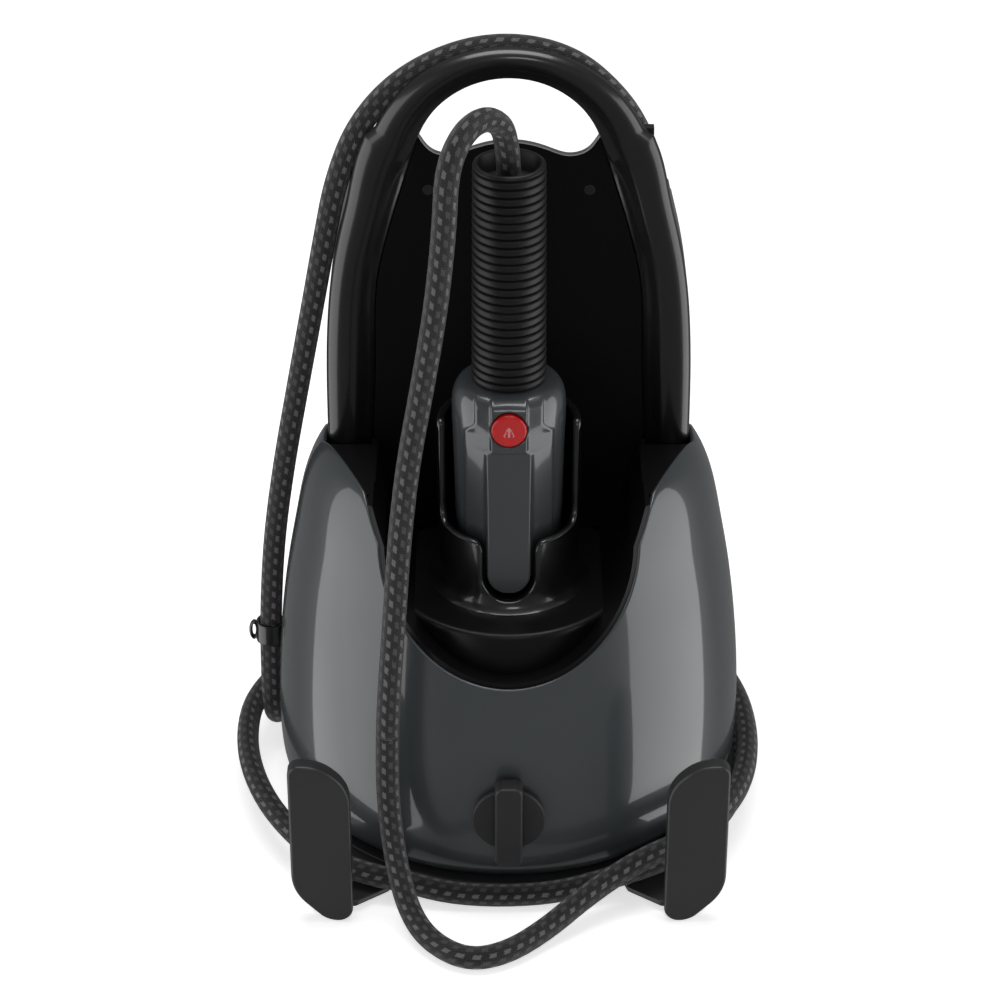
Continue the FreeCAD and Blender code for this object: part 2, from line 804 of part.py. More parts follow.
def buildKnob():
    height = s.knobHeight
    disc = frontCylinder("knobDisc", s.knobRadius, (0, height), (-s.knobDiscFace, -s.knobBack))
    shaft = frontCylinder("knobShaft", s.shaftRadius, (0, height), (-s.knobBack, -100))
    half, long = s.knobBarWidth / 2, s.knobBarHalfLength
    outline = [(-half, height - long), (half, height - long), (half, height + long), (-half, height + long)]
    bar = frontPlate("knobBar", outline, (-s.knobBarFace, -s.knobBack))
    roundEdges(bar, 3.5, along(1))
    keep(fuse("controlKnob", disc, shaft, bar), "control_knob")
    housing = box("regulatorHousing", (-15, 15), (-112.5, -90), (height - 15, height + 15))
    bush = frontCylinder("regulatorBush", 5.8, (0, height), (-120.4, -112.5))
    bore = frontCylinder("regulatorBore", s.shaftRadius + s.runningGap, (0, height), (-130, -98))
    keep(cut("steamRegulator", fuse("regulatorSolid", housing, bush), bore), "steam_regulator")


# ---- hand piece -----------------------------------------------------------------------------------


def headProfile(inset):
    """The head's outside in radius and height, from its lower end to the neck inside the sleeve."""
    r, low, top = s.headRadius - inset, s.headBottom, s.headShoulder
    return [
        (24 - inset, low + inset),
        (27.6 - inset, low + 3 + inset),
        (28.6 - inset, low + 16),
        (29.6 - inset, low + 55),
        (r, low + 92),
        (r - 0.4, top - 9 - inset),
        (r - 3.2, top - 3.2 - inset),
        (r - 8, top - inset),
        (17 - inset, top - inset),
    ]


def buildHead():
    wall = s.headWall
    centre = (0, -s.dockY)
    neck = [(17, s.headShoulder + 15), (0, s.headShoulder + 15), (0, s.headBottom)]
    outer = turned("headOuter", headProfile(0) + neck, 0, -s.dockY)
    inner = turned(
        "headInner",
        headProfile(wall) + [(17 - wall, s.headShoulder + 16), (0, s.headShoulder + 16), (0, s.headBottom + wall)],
        0,
        -s.dockY,
    )
    half, tongueEnd = 11.2, 171.5
    tongue = common(
        "tongueClipped",
        fuse(
            "tongue",
            box("tongueBar", (-half, half), (-80, -60), (tongueEnd + half, 236)),
            frontCylinder("tongueEnd", half, (0, tongueEnd + half), (-80, -60)),
        ),
        cylinder("tongueLimit", 35.8, centre, (160, 300)),
    )
    mouth = cylinder("headMouth", 10.4, centre, (150, 182))
    shellAll = cut("headShell", fuse("headWithTongue", outer, tongue), inner, mouth)
    front = box("frontHalf", (-60, 60), (-100, -s.dockY - 0.05), (100, 320))
    rear = box("rearHalf", (-60, 60), (-s.dockY + 0.05, 40), (100, 320))
    buttonHole = frontCylinder("buttonHole", s.buttonRadius + 0.3, (0, s.buttonHeight), (-100, -58))
    keep(cut("headFront", common("headFrontHalf", shellAll, front), buttonHole), "head_front_shell")
    holes = [frontCylinder(f"headScrewHole{z}", 2.0, (0, z), (-50, 10)) for z in (206, 244)]
    recesses = [frontCylinder(f"headScrewRecess{z}", 3.6, (0, z), (-12.6, 10)) for z in (206, 244)]
    keep(cut("headRear", common("headRearHalf", shellAll, rear), *holes, *recesses), "head_rear_shell")
    profile = [(0, 0), (3.3, 0), (3.3, 2.2), (1.8, 2.4), (1.8, 9), (0, 10)]
    screws = [turned(f"headScrew{z}", profile, 0, -10.2, z, ((1, 0, 0), 90)) for z in (206, 244)]
    keep(group("headScrews", *screws), "head_screws")


def buildButton():
    height = s.buttonHeight
    cap = frontCylinder("buttonCap", s.buttonRadius, (0, height), (-73, -64))
    stem = frontCylinder("buttonStem", 2.0, (0, height), (-64, -53))
    keep(fuse("steamButton", cap, stem), "steam_button")
    block = box("triggerBlock", (-9, 9), (-55, -s.dockY), (height - 12, height + 12))
    clamp = cylinder("triggerClamp", 9, (0, -s.dockY), (height - 12, height + 12))
    bore = frontCylinder("triggerBore", 2.0 + s.runningGap, (0, height), (-60, -50))
    passage = cylinder("triggerPassage", 4, (0, -s.dockY), (height - 13, height + 13))
    keep(cut("triggerValve", fuse("triggerHousing", block, clamp), bore, passage), "trigger_valve")
    spring = doc.addObject("PartDesign::Body", "buttonSpring")
    sketch = sketchOn(spring, "XZ_Plane")
    drawCircle(sketch, 3.8, 0, 0.4)
    helix = spring.newObject("PartDesign::AdditiveHelix", "springHelix")
    helix.Profile = sketch
    helix.ReferenceAxis = (sketch, ["V_Axis"])
    helix.Mode = "height-turns-angle"
    helix.Height = 7.8
    helix.Turns = 5
    place(spring, 0, -55.6, height, ((1, 0, 0), 90))
    keep(spring, "button_spring")


def buildGrip():
    bottom, top = s.sleeveBottom, s.sleeveTop
    r, bore = s.sleeveRadius, s.sleeveBore
    profile = [(17.2, bottom), (r - 0.8, bottom), (r, bottom + 1), (r, top - 1.5), (r - 1.5, top)]
    profile += [(bore + 1, top), (bore, top - 1), (bore, bottom + 16), (17.2, bottom + 16)]
    sleeve = turned("gripSleeve", profile, 0, -s.dockY)
    sketch = sketchOn(sleeve, "XZ_Plane")
    first = bottom + s.ribPitch
    floor = r - s.ribGroove
    drawOutline(sketch, [(floor, first - 0.5), (r + 1, first - 0.9), (r + 1, first + 0.9), (floor, first + 0.5)])
    groove = sleeve.newObject("PartDesign::Groove", "sleeveGroove")
    groove.Profile = sketch
    groove.ReferenceAxis = (sketch, ["V_Axis"])
    groove.Angle = 360
    doc.recompute()
    pattern = sleeve.newObject("PartDesign::LinearPattern", "sleeveGrooves")
    pattern.Originals = [groove]
    pattern.Direction = (sketch, ["V_Axis"])
    count = 25
    pattern.Occurrences = count
    bind(pattern, Length=s.ribPitch * (count - 1))
    sleeve.Tip = pattern
    keep(sleeve, "grip_sleeve")
    low = s.headShoulder + 15.2
    core = [(12.4, low), (bore - 0.1, low), (bore - 0.1, 380), (12.4, 380)]
    keep(turned("gripCore", core, 0, -s.dockY), "grip_core")
    hoseBore = s.hoseDiameter / 2 + 0.1
    collet = [(4.2, 380.1), (bore - 0.1, 380.1), (bore - 0.1, 398), (hoseBore, 398), (hoseBore, 391), (4.2, 391)]
    keep(turned("hoseCollet", collet, 0, -s.dockY), "hose_collet")


def buildSteamPath():
    pipe = [(2.6, 184), (4, 184), (4, 391), (2.6, 391)]
    keep(turned("steamPipe", pipe, 0, -s.dockY), "steam_pipe")
    nozzle = [(3, 152), (6, 152), (10.2, 160), (10.2, 183.9), (3, 183.9)]
    keep(turned("steamNozzle", nozzle, 0, -s.dockY), "steam_nozzle")


# ---- water tank -----------------------------------------------------------------------------------


def buildTank():
    half, front, back = s.tankHalfWidth, s.tankFront, s.tankBack
    wall = s.tankWall
    outline = [(-half, front), (half, front), (half, back), (-half, back)]
    body = plate("tankBody", outline, (s.tankBottom, s.tankTop))
    roundEdges(body, 12, along(2))
    inset = [(x + (wall if number(x) < 0 else -wall), y + (wall if i < 2 else -wall)) for i, (x, y) in enumerate(outline)]
    hollow = plate("tankHollow", inset, (s.tankBottom + wall, s.tankTop - wall))
    roundEdges(hollow, 9.6, along(2))
    middle = (0, s.tankMiddle)
    neck = cylinder("tankNeck", 22, middle, (s.tankTop - 1, s.tankTop + 7))
    spout = cylinder("tankSpout", 8, middle, (s.wellFloor + 0.3, s.tankBottom + 1))
    bores = [cylinder("neckBore", 19.6, middle, (300, 350)), cylinder("spoutBore", 5, middle, (150, 180))]
    keep(cut("waterTank", fuse("tankSolid", body, neck, spout), hollow, *bores), "water_tank")
    top = s.tankTop + 7
    cap = [(0, top + 6), (25, top + 6), (26, top + 5), (26, top - 6), (22.4, top - 6), (22.4, top + 0.3), (0, top + 0.3)]
    grip = box("capGrip", (-20, 20), (s.tankMiddle - 3, s.tankMiddle + 3), (top + 5, top + 13))
    keep(fuse("capWithGrip", turned("tankCap", cap, middle[0], middle[1]), grip), "tank_cap")

    low = s.wellFloor - 3
    well = box("wellOuter", (-half - 2.6, half + 2.6), (39.4, 118), (low, 219))
    space = box("wellSpace", (-half - 0.8, half + 0.8), (41.2, 130), (s.wellFloor, 240))
    port = cylinder("wellPort", 10.4, middle, (150, s.wellFloor))
    walls = common("wellInside", cut("wellTray", well, space), egg("eggWell", s.shellWall + s.fitGap))
    rim = cylinder("portTube", 7, middle, (s.wellFloor - 14, low))
    drilled = cylinder("portBore", 4, middle, (140, 190))
    keep(cut("tankWell", fuse("wellSolid", walls, rim), drilled), "tank_well")


# ---- inside the base ------------------------------------------------------------------------------


def buildBoiler():
    r, low, high, wall = s.boilerRadius, s.boilerBottom, s.boilerTop, s.boilerWall
    outer = [(0, low), (r - 8, low), (r, low + 8), (r, high - 14), (r - 12, high), (0, high)]
    inner = [(0, low + wall), (r - 9, low + wall), (r - wall, low + 9)]
    inner += [(r - wall, high - 15), (r - 13, high - wall), (0, high - wall)]
    pot = turned("boilerPot", outer, 0, s.boilerY)
    hollow = turned("boilerHollow", inner, 0, s.boilerY)
    pins = [cylinder(f"pinHole{x}", 2.1, (x, s.boilerY), (0, 30)) for x in (-28, 28)]
    keep(cut("boiler", pot, hollow, *pins), "boiler")
    ring = doc.addObject("Part::Torus", "elementRing")
    bind(ring, Radius1=28, Radius2=3.2)
    place(ring, 0, s.boilerY, low + 6.4)
    legs = [cylinder(f"elementPin{x}", 2.0, (x, s.boilerY), (10.6, low + 6.4)) for x in (-28, 28)]
    keep(fuse("heatingElement", ring, *legs), "heating_element")
    stand = [(32, s.trayTop), (37, s.trayTop), (37, low), (32, low)]
    keep(turned("boilerStand", stand, 0, s.boilerY), "boiler_stand")
    keep(cylinder("thermostat", 8, (0, s.boilerY), (high, high + 9)), "thermostat")
    keep(box("thermalFuse", (-20, -8), (8, 13), (high, high + 5)), "thermal_fuse")
    valve = [(0, 0), (5, 0), (5, 10), (3.4, 10), (3.4, 15), (5.6, 15), (5.6, 22), (0, 22)]
    keep(turned("safetyValve", valve, 20, s.boilerY + 12, high), "safety_valve")
    keep(box("steamValve", (-30, -12), (s.boilerY, s.boilerY + 18), (high, high + 24)), "steam_valve")


def buildServices():
    centre = (62, -35)
    keep(cylinder("pumpPad", 18, centre, (s.trayTop, 12.5)), "pump_pad")
    keep(
        fuse(
            "pump",
            cylinder("pumpCoil", 17, centre, (12.5, 46)),
            cylinder("pumpNeck", 12, centre, (46, 54)),
            cylinder("pumpInlet", 5, (68, -35), (54, 60)),
            cylinder("pumpOutlet", 4, (55.5, -35), (54, 60)),
        ),
        "water_pump",
    )
    keep(box("controlBoard", (-76, -74.4), (-52, 4), (s.trayTop, 60)), "control_board")
    keep(box("terminalBlock", (-74.4, -62), (-46, -16), (18, 30)), "terminal_block")
    gland = [(3.6, 0), (9.4, 0), (9.4, 3), (6.9, 3), (6.9, 14), (3.6, 14)]
    keep(turned("mainsGland", gland, -55, 118.4, 48, ((1, 0, 0), 90)), "mains_gland")
    fitting = [(3, 208), (7, 208), (9, 212), (9, 230.4), (12.5, 230.4), (12.5, 234), (9.6, 237), (7.6, 261.9), (3, 261.9)]
    keep(turned("outletFitting", fitting, s.outletX, s.outletY), "outlet_fitting")
    keep(cordSolid("feedTube", feedRoute, 7), "feed_tube")
    keep(cordSolid("pressureTube", pressureRoute, 5), "pressure_tube")
    keep(cordSolid("steamTube", steamRoute, 8), "steam_tube")


# ---- hose -----------------------------------------------------------------------------------------


def buildHose():
    diameter = number(s.hoseDiameter)
    keep(cordSolid("hoseRiser", riserRoute, diameter), "hose_riser")
    keep(cordSolid("hoseMain", mainRoute, diameter), "hose_main")
    ring = cut(
        "clipRing",
        cylinder("clipOuter", 8, (0, 0), (0, 13)),
        cylinder("clipInner", 6.5, (0, 0), (-1, 14)),
    )
    tab = box("clipTab", (-10.6, -7), (-2.5, 2.5), (0, 13))
    loop = cut("clipLoop", tab, box("clipSlot", (-9.6, -8), (-4, 4), (3, 10)))
    clip = fuse("hoseClip", ring, loop)
    place(clip, -137.3, 20, 78, ((0, 1, 0), 1.4))
    keep(clip, "hose_clip")


# ---- build, check and write -----------------------------------------------------------------------


def checkAndWrite():
    doc.recompute()
    for item in doc.Objects:
        if {"Invalid", "Error"} & set(item.State):
            raise RuntimeError(f"{item.Name} ({item.Label}) failed: {item.State}")
    os.makedirs("parts", exist_ok=True)
    for item in nodes:
        if item.Shape.isNull() or not item.Shape.isValid() or not item.Shape.Solids:
            raise RuntimeError(f"{item.Label} has no valid solid")
        item.Shape.exportStep(f"parts/{item.Label}.step")
        extent = item.Shape.BoundBox
        size = f"{extent.XLength:.1f} x {extent.YLength:.1f} x {extent.ZLength:.1f}"
        volume = item.Shape.Volume / 1000
        print(f"{item.Label}: {len(item.Shape.Solids)} solid(s), {size} mm, {volume:.1f} cm3")
    print(len(nodes), "nodes")


buildBase()
buildHooks()
buildBodyShell()
buildDock()
buildHandle()
buildKnob()
buildHead()
buildButton()
buildGrip()
buildSteamPath()
buildTank()
buildBoiler()
buildServices()
buildHose()
checkAndWrite()
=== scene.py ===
import bmesh
import bpy
import math
import numpy as np
from mathutils import Matrix, Vector


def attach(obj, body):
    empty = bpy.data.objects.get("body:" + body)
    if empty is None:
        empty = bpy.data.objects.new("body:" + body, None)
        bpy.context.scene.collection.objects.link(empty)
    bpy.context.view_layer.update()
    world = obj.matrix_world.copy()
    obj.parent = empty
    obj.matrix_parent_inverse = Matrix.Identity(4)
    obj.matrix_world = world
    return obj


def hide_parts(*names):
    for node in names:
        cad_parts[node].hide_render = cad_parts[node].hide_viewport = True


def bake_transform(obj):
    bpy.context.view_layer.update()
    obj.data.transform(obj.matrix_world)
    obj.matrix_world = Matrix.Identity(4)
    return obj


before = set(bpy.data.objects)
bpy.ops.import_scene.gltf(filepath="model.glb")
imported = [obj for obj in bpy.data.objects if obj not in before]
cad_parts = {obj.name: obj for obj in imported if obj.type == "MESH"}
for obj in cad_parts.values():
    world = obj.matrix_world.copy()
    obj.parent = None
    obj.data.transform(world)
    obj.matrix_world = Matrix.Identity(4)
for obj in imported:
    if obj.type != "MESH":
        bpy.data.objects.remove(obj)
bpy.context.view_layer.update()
mm = 0.001
base = "base"


# camera, floor and light

view = {"place": (-4.695, -1451.04, 1070.0), "target": (-4.695, 0, 184.287), "lens": 110.16, "sensor": 36}
studio = {"floorHalf": 6.0, "floorColour": (0.9, 0.9, 0.9, 1), "floorRough": 0.9, "floorGlow": 0.62,
          "worldColour": (1, 1, 1, 1), "worldStrength": 0.16}
lamps = [
    # name, place, target, width, height, watts
    ("leftSoftbox", (-1335, -421, -146), (0, 0, -146), 1784, 2208, 18),
    ("rightSoftbox", (1379, -243, -146), (0, 0, -146), 1276, 2208, 15),
    ("topSoftbox", (0, 150, 1900), (0, 0, 200), 1400, 900, 16),
    ("frontFill", (250, -2000, 1900), (0, 0, 200), 600, 500, 4),
]


def aim(item, place, target):
    place, target = Vector(place) * mm, Vector(target) * mm
    item.location = place
    item.rotation_euler = (target - place).to_track_quat("-Z", "Y").to_euler()


def buildStudio():
    camera = bpy.data.objects.new("camera", bpy.data.cameras.new("camera"))
    bpy.context.collection.objects.link(camera)
    camera.data.lens = view["lens"]
    camera.data.sensor_width = view["sensor"]
    aim(camera, view["place"], view["target"])
    bpy.context.scene.camera = camera
    world = bpy.data.worlds.new("studioWorld")
    world.use_nodes = True
    background = world.node_tree.nodes["Background"]
    background.inputs[0].default_value = studio["worldColour"]
    background.inputs[1].default_value = studio["worldStrength"]
    bpy.context.scene.world = world
    for name, place, target, width, height, watts in lamps:
        light = bpy.data.lights.new(name, "AREA")
        light.shape = "RECTANGLE"
        light.size, light.size_y, light.energy = width * mm, height * mm, watts
        lamp = bpy.data.objects.new(name, light)
        bpy.context.collection.objects.link(lamp)
        aim(lamp, place, target)
        lamp.visible_camera = False
    bpy.context.scene.view_settings.view_transform = "Standard"
    print("studio ready")


# materials

def nodeTree(name):
    material = bpy.data.materials.new(name)
    material.use_nodes = True
    nodes = material.node_tree.nodes
    return material, nodes, material.node_tree.links, nodes["Principled BSDF"]


def addNode(nodes, kind, **settings):
    node = nodes.new(kind)
    for key, value in settings.items():
        if key in node.inputs:
            node.inputs[key].default_value = value
        else:
            setattr(node, key, value)
    return node


moulding = {"grain": 0.08, "grainScale": 1400, "grainDepth": 0.0003, "driftScale": 18, "roughDrift": 0.14,
            "shade": 0.06}


def moulded(name, look):
    # Plastic or rubber: a fine grain in the relief, a slow drift in the roughness and a faint drift in the colour.
    material, nodes, links, shader = nodeTree(name)
    place = addNode(nodes, "ShaderNodeTexCoord")
    grain = addNode(nodes, "ShaderNodeTexNoise", Scale=look.get("grainScale", moulding["grainScale"]), Detail=3.0)
    drift = addNode(nodes, "ShaderNodeTexNoise", Scale=moulding["driftScale"], Detail=4.0)
    links.new(place.outputs["Object"], grain.inputs["Vector"])
    links.new(place.outputs["Object"], drift.inputs["Vector"])
    bump = addNode(nodes, "ShaderNodeBump", Strength=look.get("grain", moulding["grain"]),
                   Distance=moulding["grainDepth"])
    links.new(grain.outputs["Fac"], bump.inputs["Height"])
    links.new(bump.outputs["Normal"], shader.inputs["Normal"])
    rough = addNode(nodes, "ShaderNodeMapRange")
    rough.inputs["From Min"].default_value, rough.inputs["From Max"].default_value = 0.3, 0.7
    rough.inputs["To Min"].default_value = look["rough"] * (1 - moulding["roughDrift"])
    rough.inputs["To Max"].default_value = look["rough"] * (1 + moulding["roughDrift"])
    links.new(drift.outputs["Fac"], rough.inputs["Value"])
    links.new(rough.outputs["Result"], shader.inputs["Roughness"])
    mix = addNode(nodes, "ShaderNodeMix", data_type="RGBA")
    low = [c * (1 - moulding["shade"]) for c in look["colour"]]
    high = [c * (1 + moulding["shade"]) for c in look["colour"]]
    mix.inputs[6].default_value = (*low, 1)
    mix.inputs[7].default_value = (*high, 1)
    links.new(drift.outputs["Fac"], mix.inputs[0])
    links.new(mix.outputs[2], shader.inputs["Base Color"])
    for socket, key, usual in (("Metallic", "metal", 0), ("IOR", "ior", 1.5), ("Specular IOR Level", "specular", 0.5),
                               ("Coat Weight", "coat", 0), ("Coat Roughness", "coatRough", 0.05),
                               ("Transmission Weight", "clear", 0)):
        shader.inputs[socket].default_value = look.get(key, usual)
    return material


looks = {
    "glossGrey": {"colour": (0.040, 0.046, 0.050), "rough": 0.34, "grain": 0.03, "coat": 1.0, "coatRough": 0.06},
    "headGrey": {"colour": (0.042, 0.047, 0.051), "rough": 0.32, "grain": 0.04, "coat": 0.9, "coatRough": 0.08},
    "glossBlack": {"colour": (0.004, 0.004, 0.0042), "rough": 0.35, "grain": 0.04, "coat": 0.8, "coatRough": 0.14},
    "cupBlack": {"colour": (0.005, 0.005, 0.0052), "rough": 0.34, "grain": 0.04, "coat": 1.0, "coatRough": 0.12},
    "linerBlack": {"colour": (0.003, 0.003, 0.003), "rough": 0.4, "grain": 0.08, "specular": 0.3},
    "panelBlack": {"colour": (0.003, 0.003, 0.003), "rough": 0.6, "grain": 0.2, "specular": 0.12},
    # grey of the bead along the panel's hole: a painted highlight where that edge catches the light
    "edgeHighlightGrey": {"colour": (0.30, 0.30, 0.30), "rough": 0.4, "grain": 0.1},
    "hookBlack": {"colour": (0.030, 0.030, 0.0305), "rough": 0.36, "grain": 0.25, "grainScale": 2200},
    "knobBlack": {"colour": (0.020, 0.020, 0.0203), "rough": 0.42, "grain": 0.3, "grainScale": 2600},
    "gripRubber": {"colour": (0.006, 0.006, 0.006), "rough": 0.46, "grain": 0.3, "specular": 0.4},
    "footRubber": {"colour": (0.012, 0.012, 0.012), "rough": 0.8, "grain": 0.6, "specular": 0.3},
    "buttonRed": {"colour": (0.5, 0.003, 0.004), "rough": 0.32, "grain": 0.05, "coat": 0.3},
    "arrowWhite": {"colour": (0.55, 0.20, 0.20), "rough": 0.5, "grain": 0.1},
    "screwSteel": {"colour": (0.46, 0.46, 0.47), "rough": 0.34, "metal": 1, "grain": 0.25},
    "brassTurned": {"colour": (0.62, 0.45, 0.19), "rough": 0.3, "metal": 1, "grain": 0.25},
    "castAluminium": {"colour": (0.62, 0.62, 0.63), "rough": 0.5, "metal": 1, "grain": 0.7, "grainScale": 500},
    "innerBlack": {"colour": (0.008, 0.008, 0.008), "rough": 0.5, "grain": 0.3},
    "silicone": {"colour": (0.55, 0.52, 0.48), "rough": 0.5, "grain": 0.2},
    "boardGreen": {"colour": (0.02, 0.13, 0.06), "rough": 0.4, "grain": 0.4, "grainScale": 700},
    "smokeTank": {"colour": (0.04, 0.045, 0.05), "rough": 0.16, "grain": 0.04, "clear": 0.65, "ior": 1.49},
}
finishes = {name: moulded(name, look) for name, look in looks.items()}

braid = {
    "period": 7.6,         # along the hose, from fleck to fleck
    "rows": 10,            # rows of flecks round the hose
    "strands": 40,         # threads round the hose
    "slope": 3.0,          # how steeply the threads cross
    "rowShift": 0.45,      # how far every other row of flecks is moved along
    "skew": 0.22,          # lean of a fleck
    "ragged": 0.34,        # unevenness of a fleck's edge
    "halfLength": 0.20,    # of a fleck, as a share of the period
    "halfWidth": 0.24,     # of a fleck, as a share of a row
    "endFade": 14.0,       # higher is sharper
    "sideFade": 12.0,
    "faint": 0.62,         # how much weaker every other row is
    "noiseScale": 1100.0,
    "relief": 0.55,
    "reliefDepth": 0.0005,
    "fuzz": 0.6,
    "rough": 0.62,
    "sheen": 0.25,
    "sheenRough": 0.4,
    "cover": (0.0045, 0.0045, 0.0047),
    "thread": (0.016, 0.0155, 0.016),
    "fleck": (0.135, 0.125, 0.130),
}


def braidCover():
    # Woven cover on the tube's own map: u runs along it in metres, v once round it.
    material, nodes, links, shader = nodeTree("hoseBraid")

    def calc(kind, a, b=None):
        node = addNode(nodes, "ShaderNodeMath", operation=kind)
        for socket, value in ((0, a), (1, b)):
            if value is None:
                continue
            if isinstance(value, (int, float)):
                node.inputs[socket].default_value = value
            else:
                links.new(value, node.inputs[socket])
        return node.outputs[0]

    def within(away, half, fade):
        # 1 where a distance is under half, fading to 0 past it
        beyond = calc("MULTIPLY", calc("MAXIMUM", calc("SUBTRACT", away, half), 0.0), fade)
        return calc("SUBTRACT", 1.0, calc("MINIMUM", beyond, 1.0))

    uv = addNode(nodes, "ShaderNodeUVMap", uv_map="alongHose")
    parts = addNode(nodes, "ShaderNodeSeparateXYZ")
    links.new(uv.outputs[0], parts.inputs[0])
    along = calc("DIVIDE", parts.outputs[0], braid["period"] * mm)
    around = calc("MULTIPLY", parts.outputs[1], braid["rows"])
    # threads: two sets of diagonal ridges crossing each other
    threads = calc("MULTIPLY", parts.outputs[1], braid["strands"])
    slope = calc("MULTIPLY", along, braid["slope"])
    right = calc("SINE", calc("MULTIPLY", calc("ADD", threads, slope), 2 * math.pi))
    left = calc("SINE", calc("MULTIPLY", calc("SUBTRACT", threads, slope), 2 * math.pi))
    weave = calc("MAXIMUM", right, left)
    # flecks: short dashes in rows, each row half a step from its neighbours and every other row fainter
    row = calc("FLOOR", around)
    odd = calc("MODULO", row, 2.0)
    step = calc("FRACT", calc("ADD", along, calc("MULTIPLY", odd, braid["rowShift"])))
    across = calc("FRACT", around)
    skew = calc("MULTIPLY", calc("SUBTRACT", across, 0.5), braid["skew"])
    noise = addNode(nodes, "ShaderNodeTexNoise", Scale=braid["noiseScale"], Detail=3.0)
    place = addNode(nodes, "ShaderNodeTexCoord")
    links.new(place.outputs["Object"], noise.inputs["Vector"])
    ragged = calc("MULTIPLY", calc("SUBTRACT", noise.outputs["Fac"], 0.5), braid["ragged"])
    lengthAway = calc("ADD", calc("ABSOLUTE", calc("ADD", calc("SUBTRACT", step, 0.5), skew)), ragged)
    widthAway = calc("ADD", calc("ABSOLUTE", calc("SUBTRACT", across, 0.5)), ragged)
    inLength = within(lengthAway, braid["halfLength"], braid["endFade"])
    inWidth = within(widthAway, braid["halfWidth"], braid["sideFade"])
    strength = calc("SUBTRACT", 1.0, calc("MULTIPLY", odd, braid["faint"]))
    fleck = calc("MULTIPLY", calc("MULTIPLY", inLength, inWidth), strength)
    threadMix = addNode(nodes, "ShaderNodeMix", data_type="RGBA")
    threadMix.inputs[6].default_value = (*braid["cover"], 1)
    threadMix.inputs[7].default_value = (*braid["thread"], 1)
    ridge = calc("MULTIPLY", calc("MAXIMUM", weave, 0.0), noise.outputs["Fac"])
    links.new(ridge, threadMix.inputs[0])
    mix = addNode(nodes, "ShaderNodeMix", data_type="RGBA")
    links.new(threadMix.outputs[2], mix.inputs[6])
    mix.inputs[7].default_value = (*braid["fleck"], 1)
    links.new(fleck, mix.inputs[0])
    links.new(mix.outputs[2], shader.inputs["Base Color"])
    bump = addNode(nodes, "ShaderNodeBump", Strength=braid["relief"], Distance=braid["reliefDepth"])
    height = calc("ADD", weave, calc("MULTIPLY", noise.outputs["Fac"], braid["fuzz"]))
    links.new(height, bump.inputs["Height"])
    links.new(bump.outputs["Normal"], shader.inputs["Normal"])
    shader.inputs["Roughness"].default_value = braid["rough"]
    shader.inputs["Sheen Weight"].default_value = braid["sheen"]
    shader.inputs["Sheen Roughness"].default_value = braid["sheenRough"]
    return material


finishes["hoseBraid"] = braidCover()
print("materials ready")


# mesh helpers: everything is worked out in millimetres and stored in metres

def gridFaces(rows, columns, closeRows=False, closeColumns=True):
    # Quads of a grid of points, joined round its columns, and round its rows as well where asked.
    rowEnd = rows if closeRows else rows - 1
    columnEnd = columns if closeColumns else columns - 1
    i, j = np.meshgrid(np.arange(rowEnd), np.arange(columnEnd), indexing="ij")
    nextI, nextJ = (i + 1) % rows, (j + 1) % columns
    quads = [i * columns + j, i * columns + nextJ, nextI * columns + nextJ, nextI * columns + j]
    return np.stack(quads, -1).reshape(-1, 4)


def poleFaces(first, columns, pole, flip=False):
    # Triangles from one ring of points to its pole.
    j = np.arange(columns)
    near, far = first + j, first + (j + 1) % columns
    order = [far, near] if flip else [near, far]
    return np.stack([np.full(columns, pole), *order], -1)


def gridSurface(points, closeRows=False, closeColumns=True, firstPole=None, lastPole=None):
    # Points (rows, columns, 3) with optional pole points at either end, as vertices and faces.
    rows, columns = points.shape[:2]
    verts = points.reshape(-1, 3)
    faces = [list(face) for face in gridFaces(rows, columns, closeRows, closeColumns)]
    if firstPole is not None:
        faces += poleFaces(0, columns, len(verts)).tolist()
        verts = np.vstack([verts, firstPole])
    if lastPole is not None:
        faces += poleFaces((rows - 1) * columns, columns, len(verts), True).tolist()
        verts = np.vstack([verts, lastPole])
    return verts, faces


def barSurface(points):
    # a closed section (rows) carried along a line (columns), with a flat face at either end
    rows, columns = points.shape[:2]
    verts, faces = gridSurface(points, closeRows=True, closeColumns=False)
    faces.append([k * columns for k in range(rows)])
    faces.append([k * columns + columns - 1 for k in range(rows)][::-1])
    return verts, faces


def joined(*surfaces):
    # Several closed surfaces as one mesh.
    verts, faces, count = [], [], 0
    for points, polygons in surfaces:
        verts.append(points)
        faces += [[index + count for index in polygon] for polygon in polygons]
        count += len(points)
    return np.vstack(verts), faces


def makePiece(name, surface, finish, body=base, replaces=(), sharp=38):
    # one finished piece: millimetres to metres, doubles merged, normals outward, edges past the sharp angle hard
    verts, faces = surface
    mesh = bpy.data.meshes.new(name)
    mesh.from_pydata((np.asarray(verts) * mm).tolist(), [], faces)
    mesh.validate()
    shape = bmesh.new()
    shape.from_mesh(mesh)
    bmesh.ops.remove_doubles(shape, verts=shape.verts, dist=1e-7)
    bmesh.ops.recalc_face_normals(shape, faces=shape.faces)
    shape.to_mesh(mesh)
    shape.free()
    mesh.polygons.foreach_set("use_smooth", np.ones(len(mesh.polygons), bool))
    mesh.set_sharp_from_angle(angle=math.radians(sharp))
    mesh.materials.append(finishes[finish])
    piece = bpy.data.objects.new(name, mesh)
    bpy.context.collection.objects.link(piece)
    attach(piece, body)
    if replaces:
        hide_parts(*replaces)
    return piece


def ease(value, low, high):
    # Smooth step from 0 at low to 1 at high.
    share = np.clip((value - low) / (high - low), 0, 1)
    return share * share * (3 - 2 * share)


def circleLine(radius, count, x=0.0, z=0.0):
    angle = np.linspace(0, 2 * math.pi, count, endpoint=False)
    return np.stack([x + radius * np.cos(angle), z + radius * np.sin(angle)], -1)


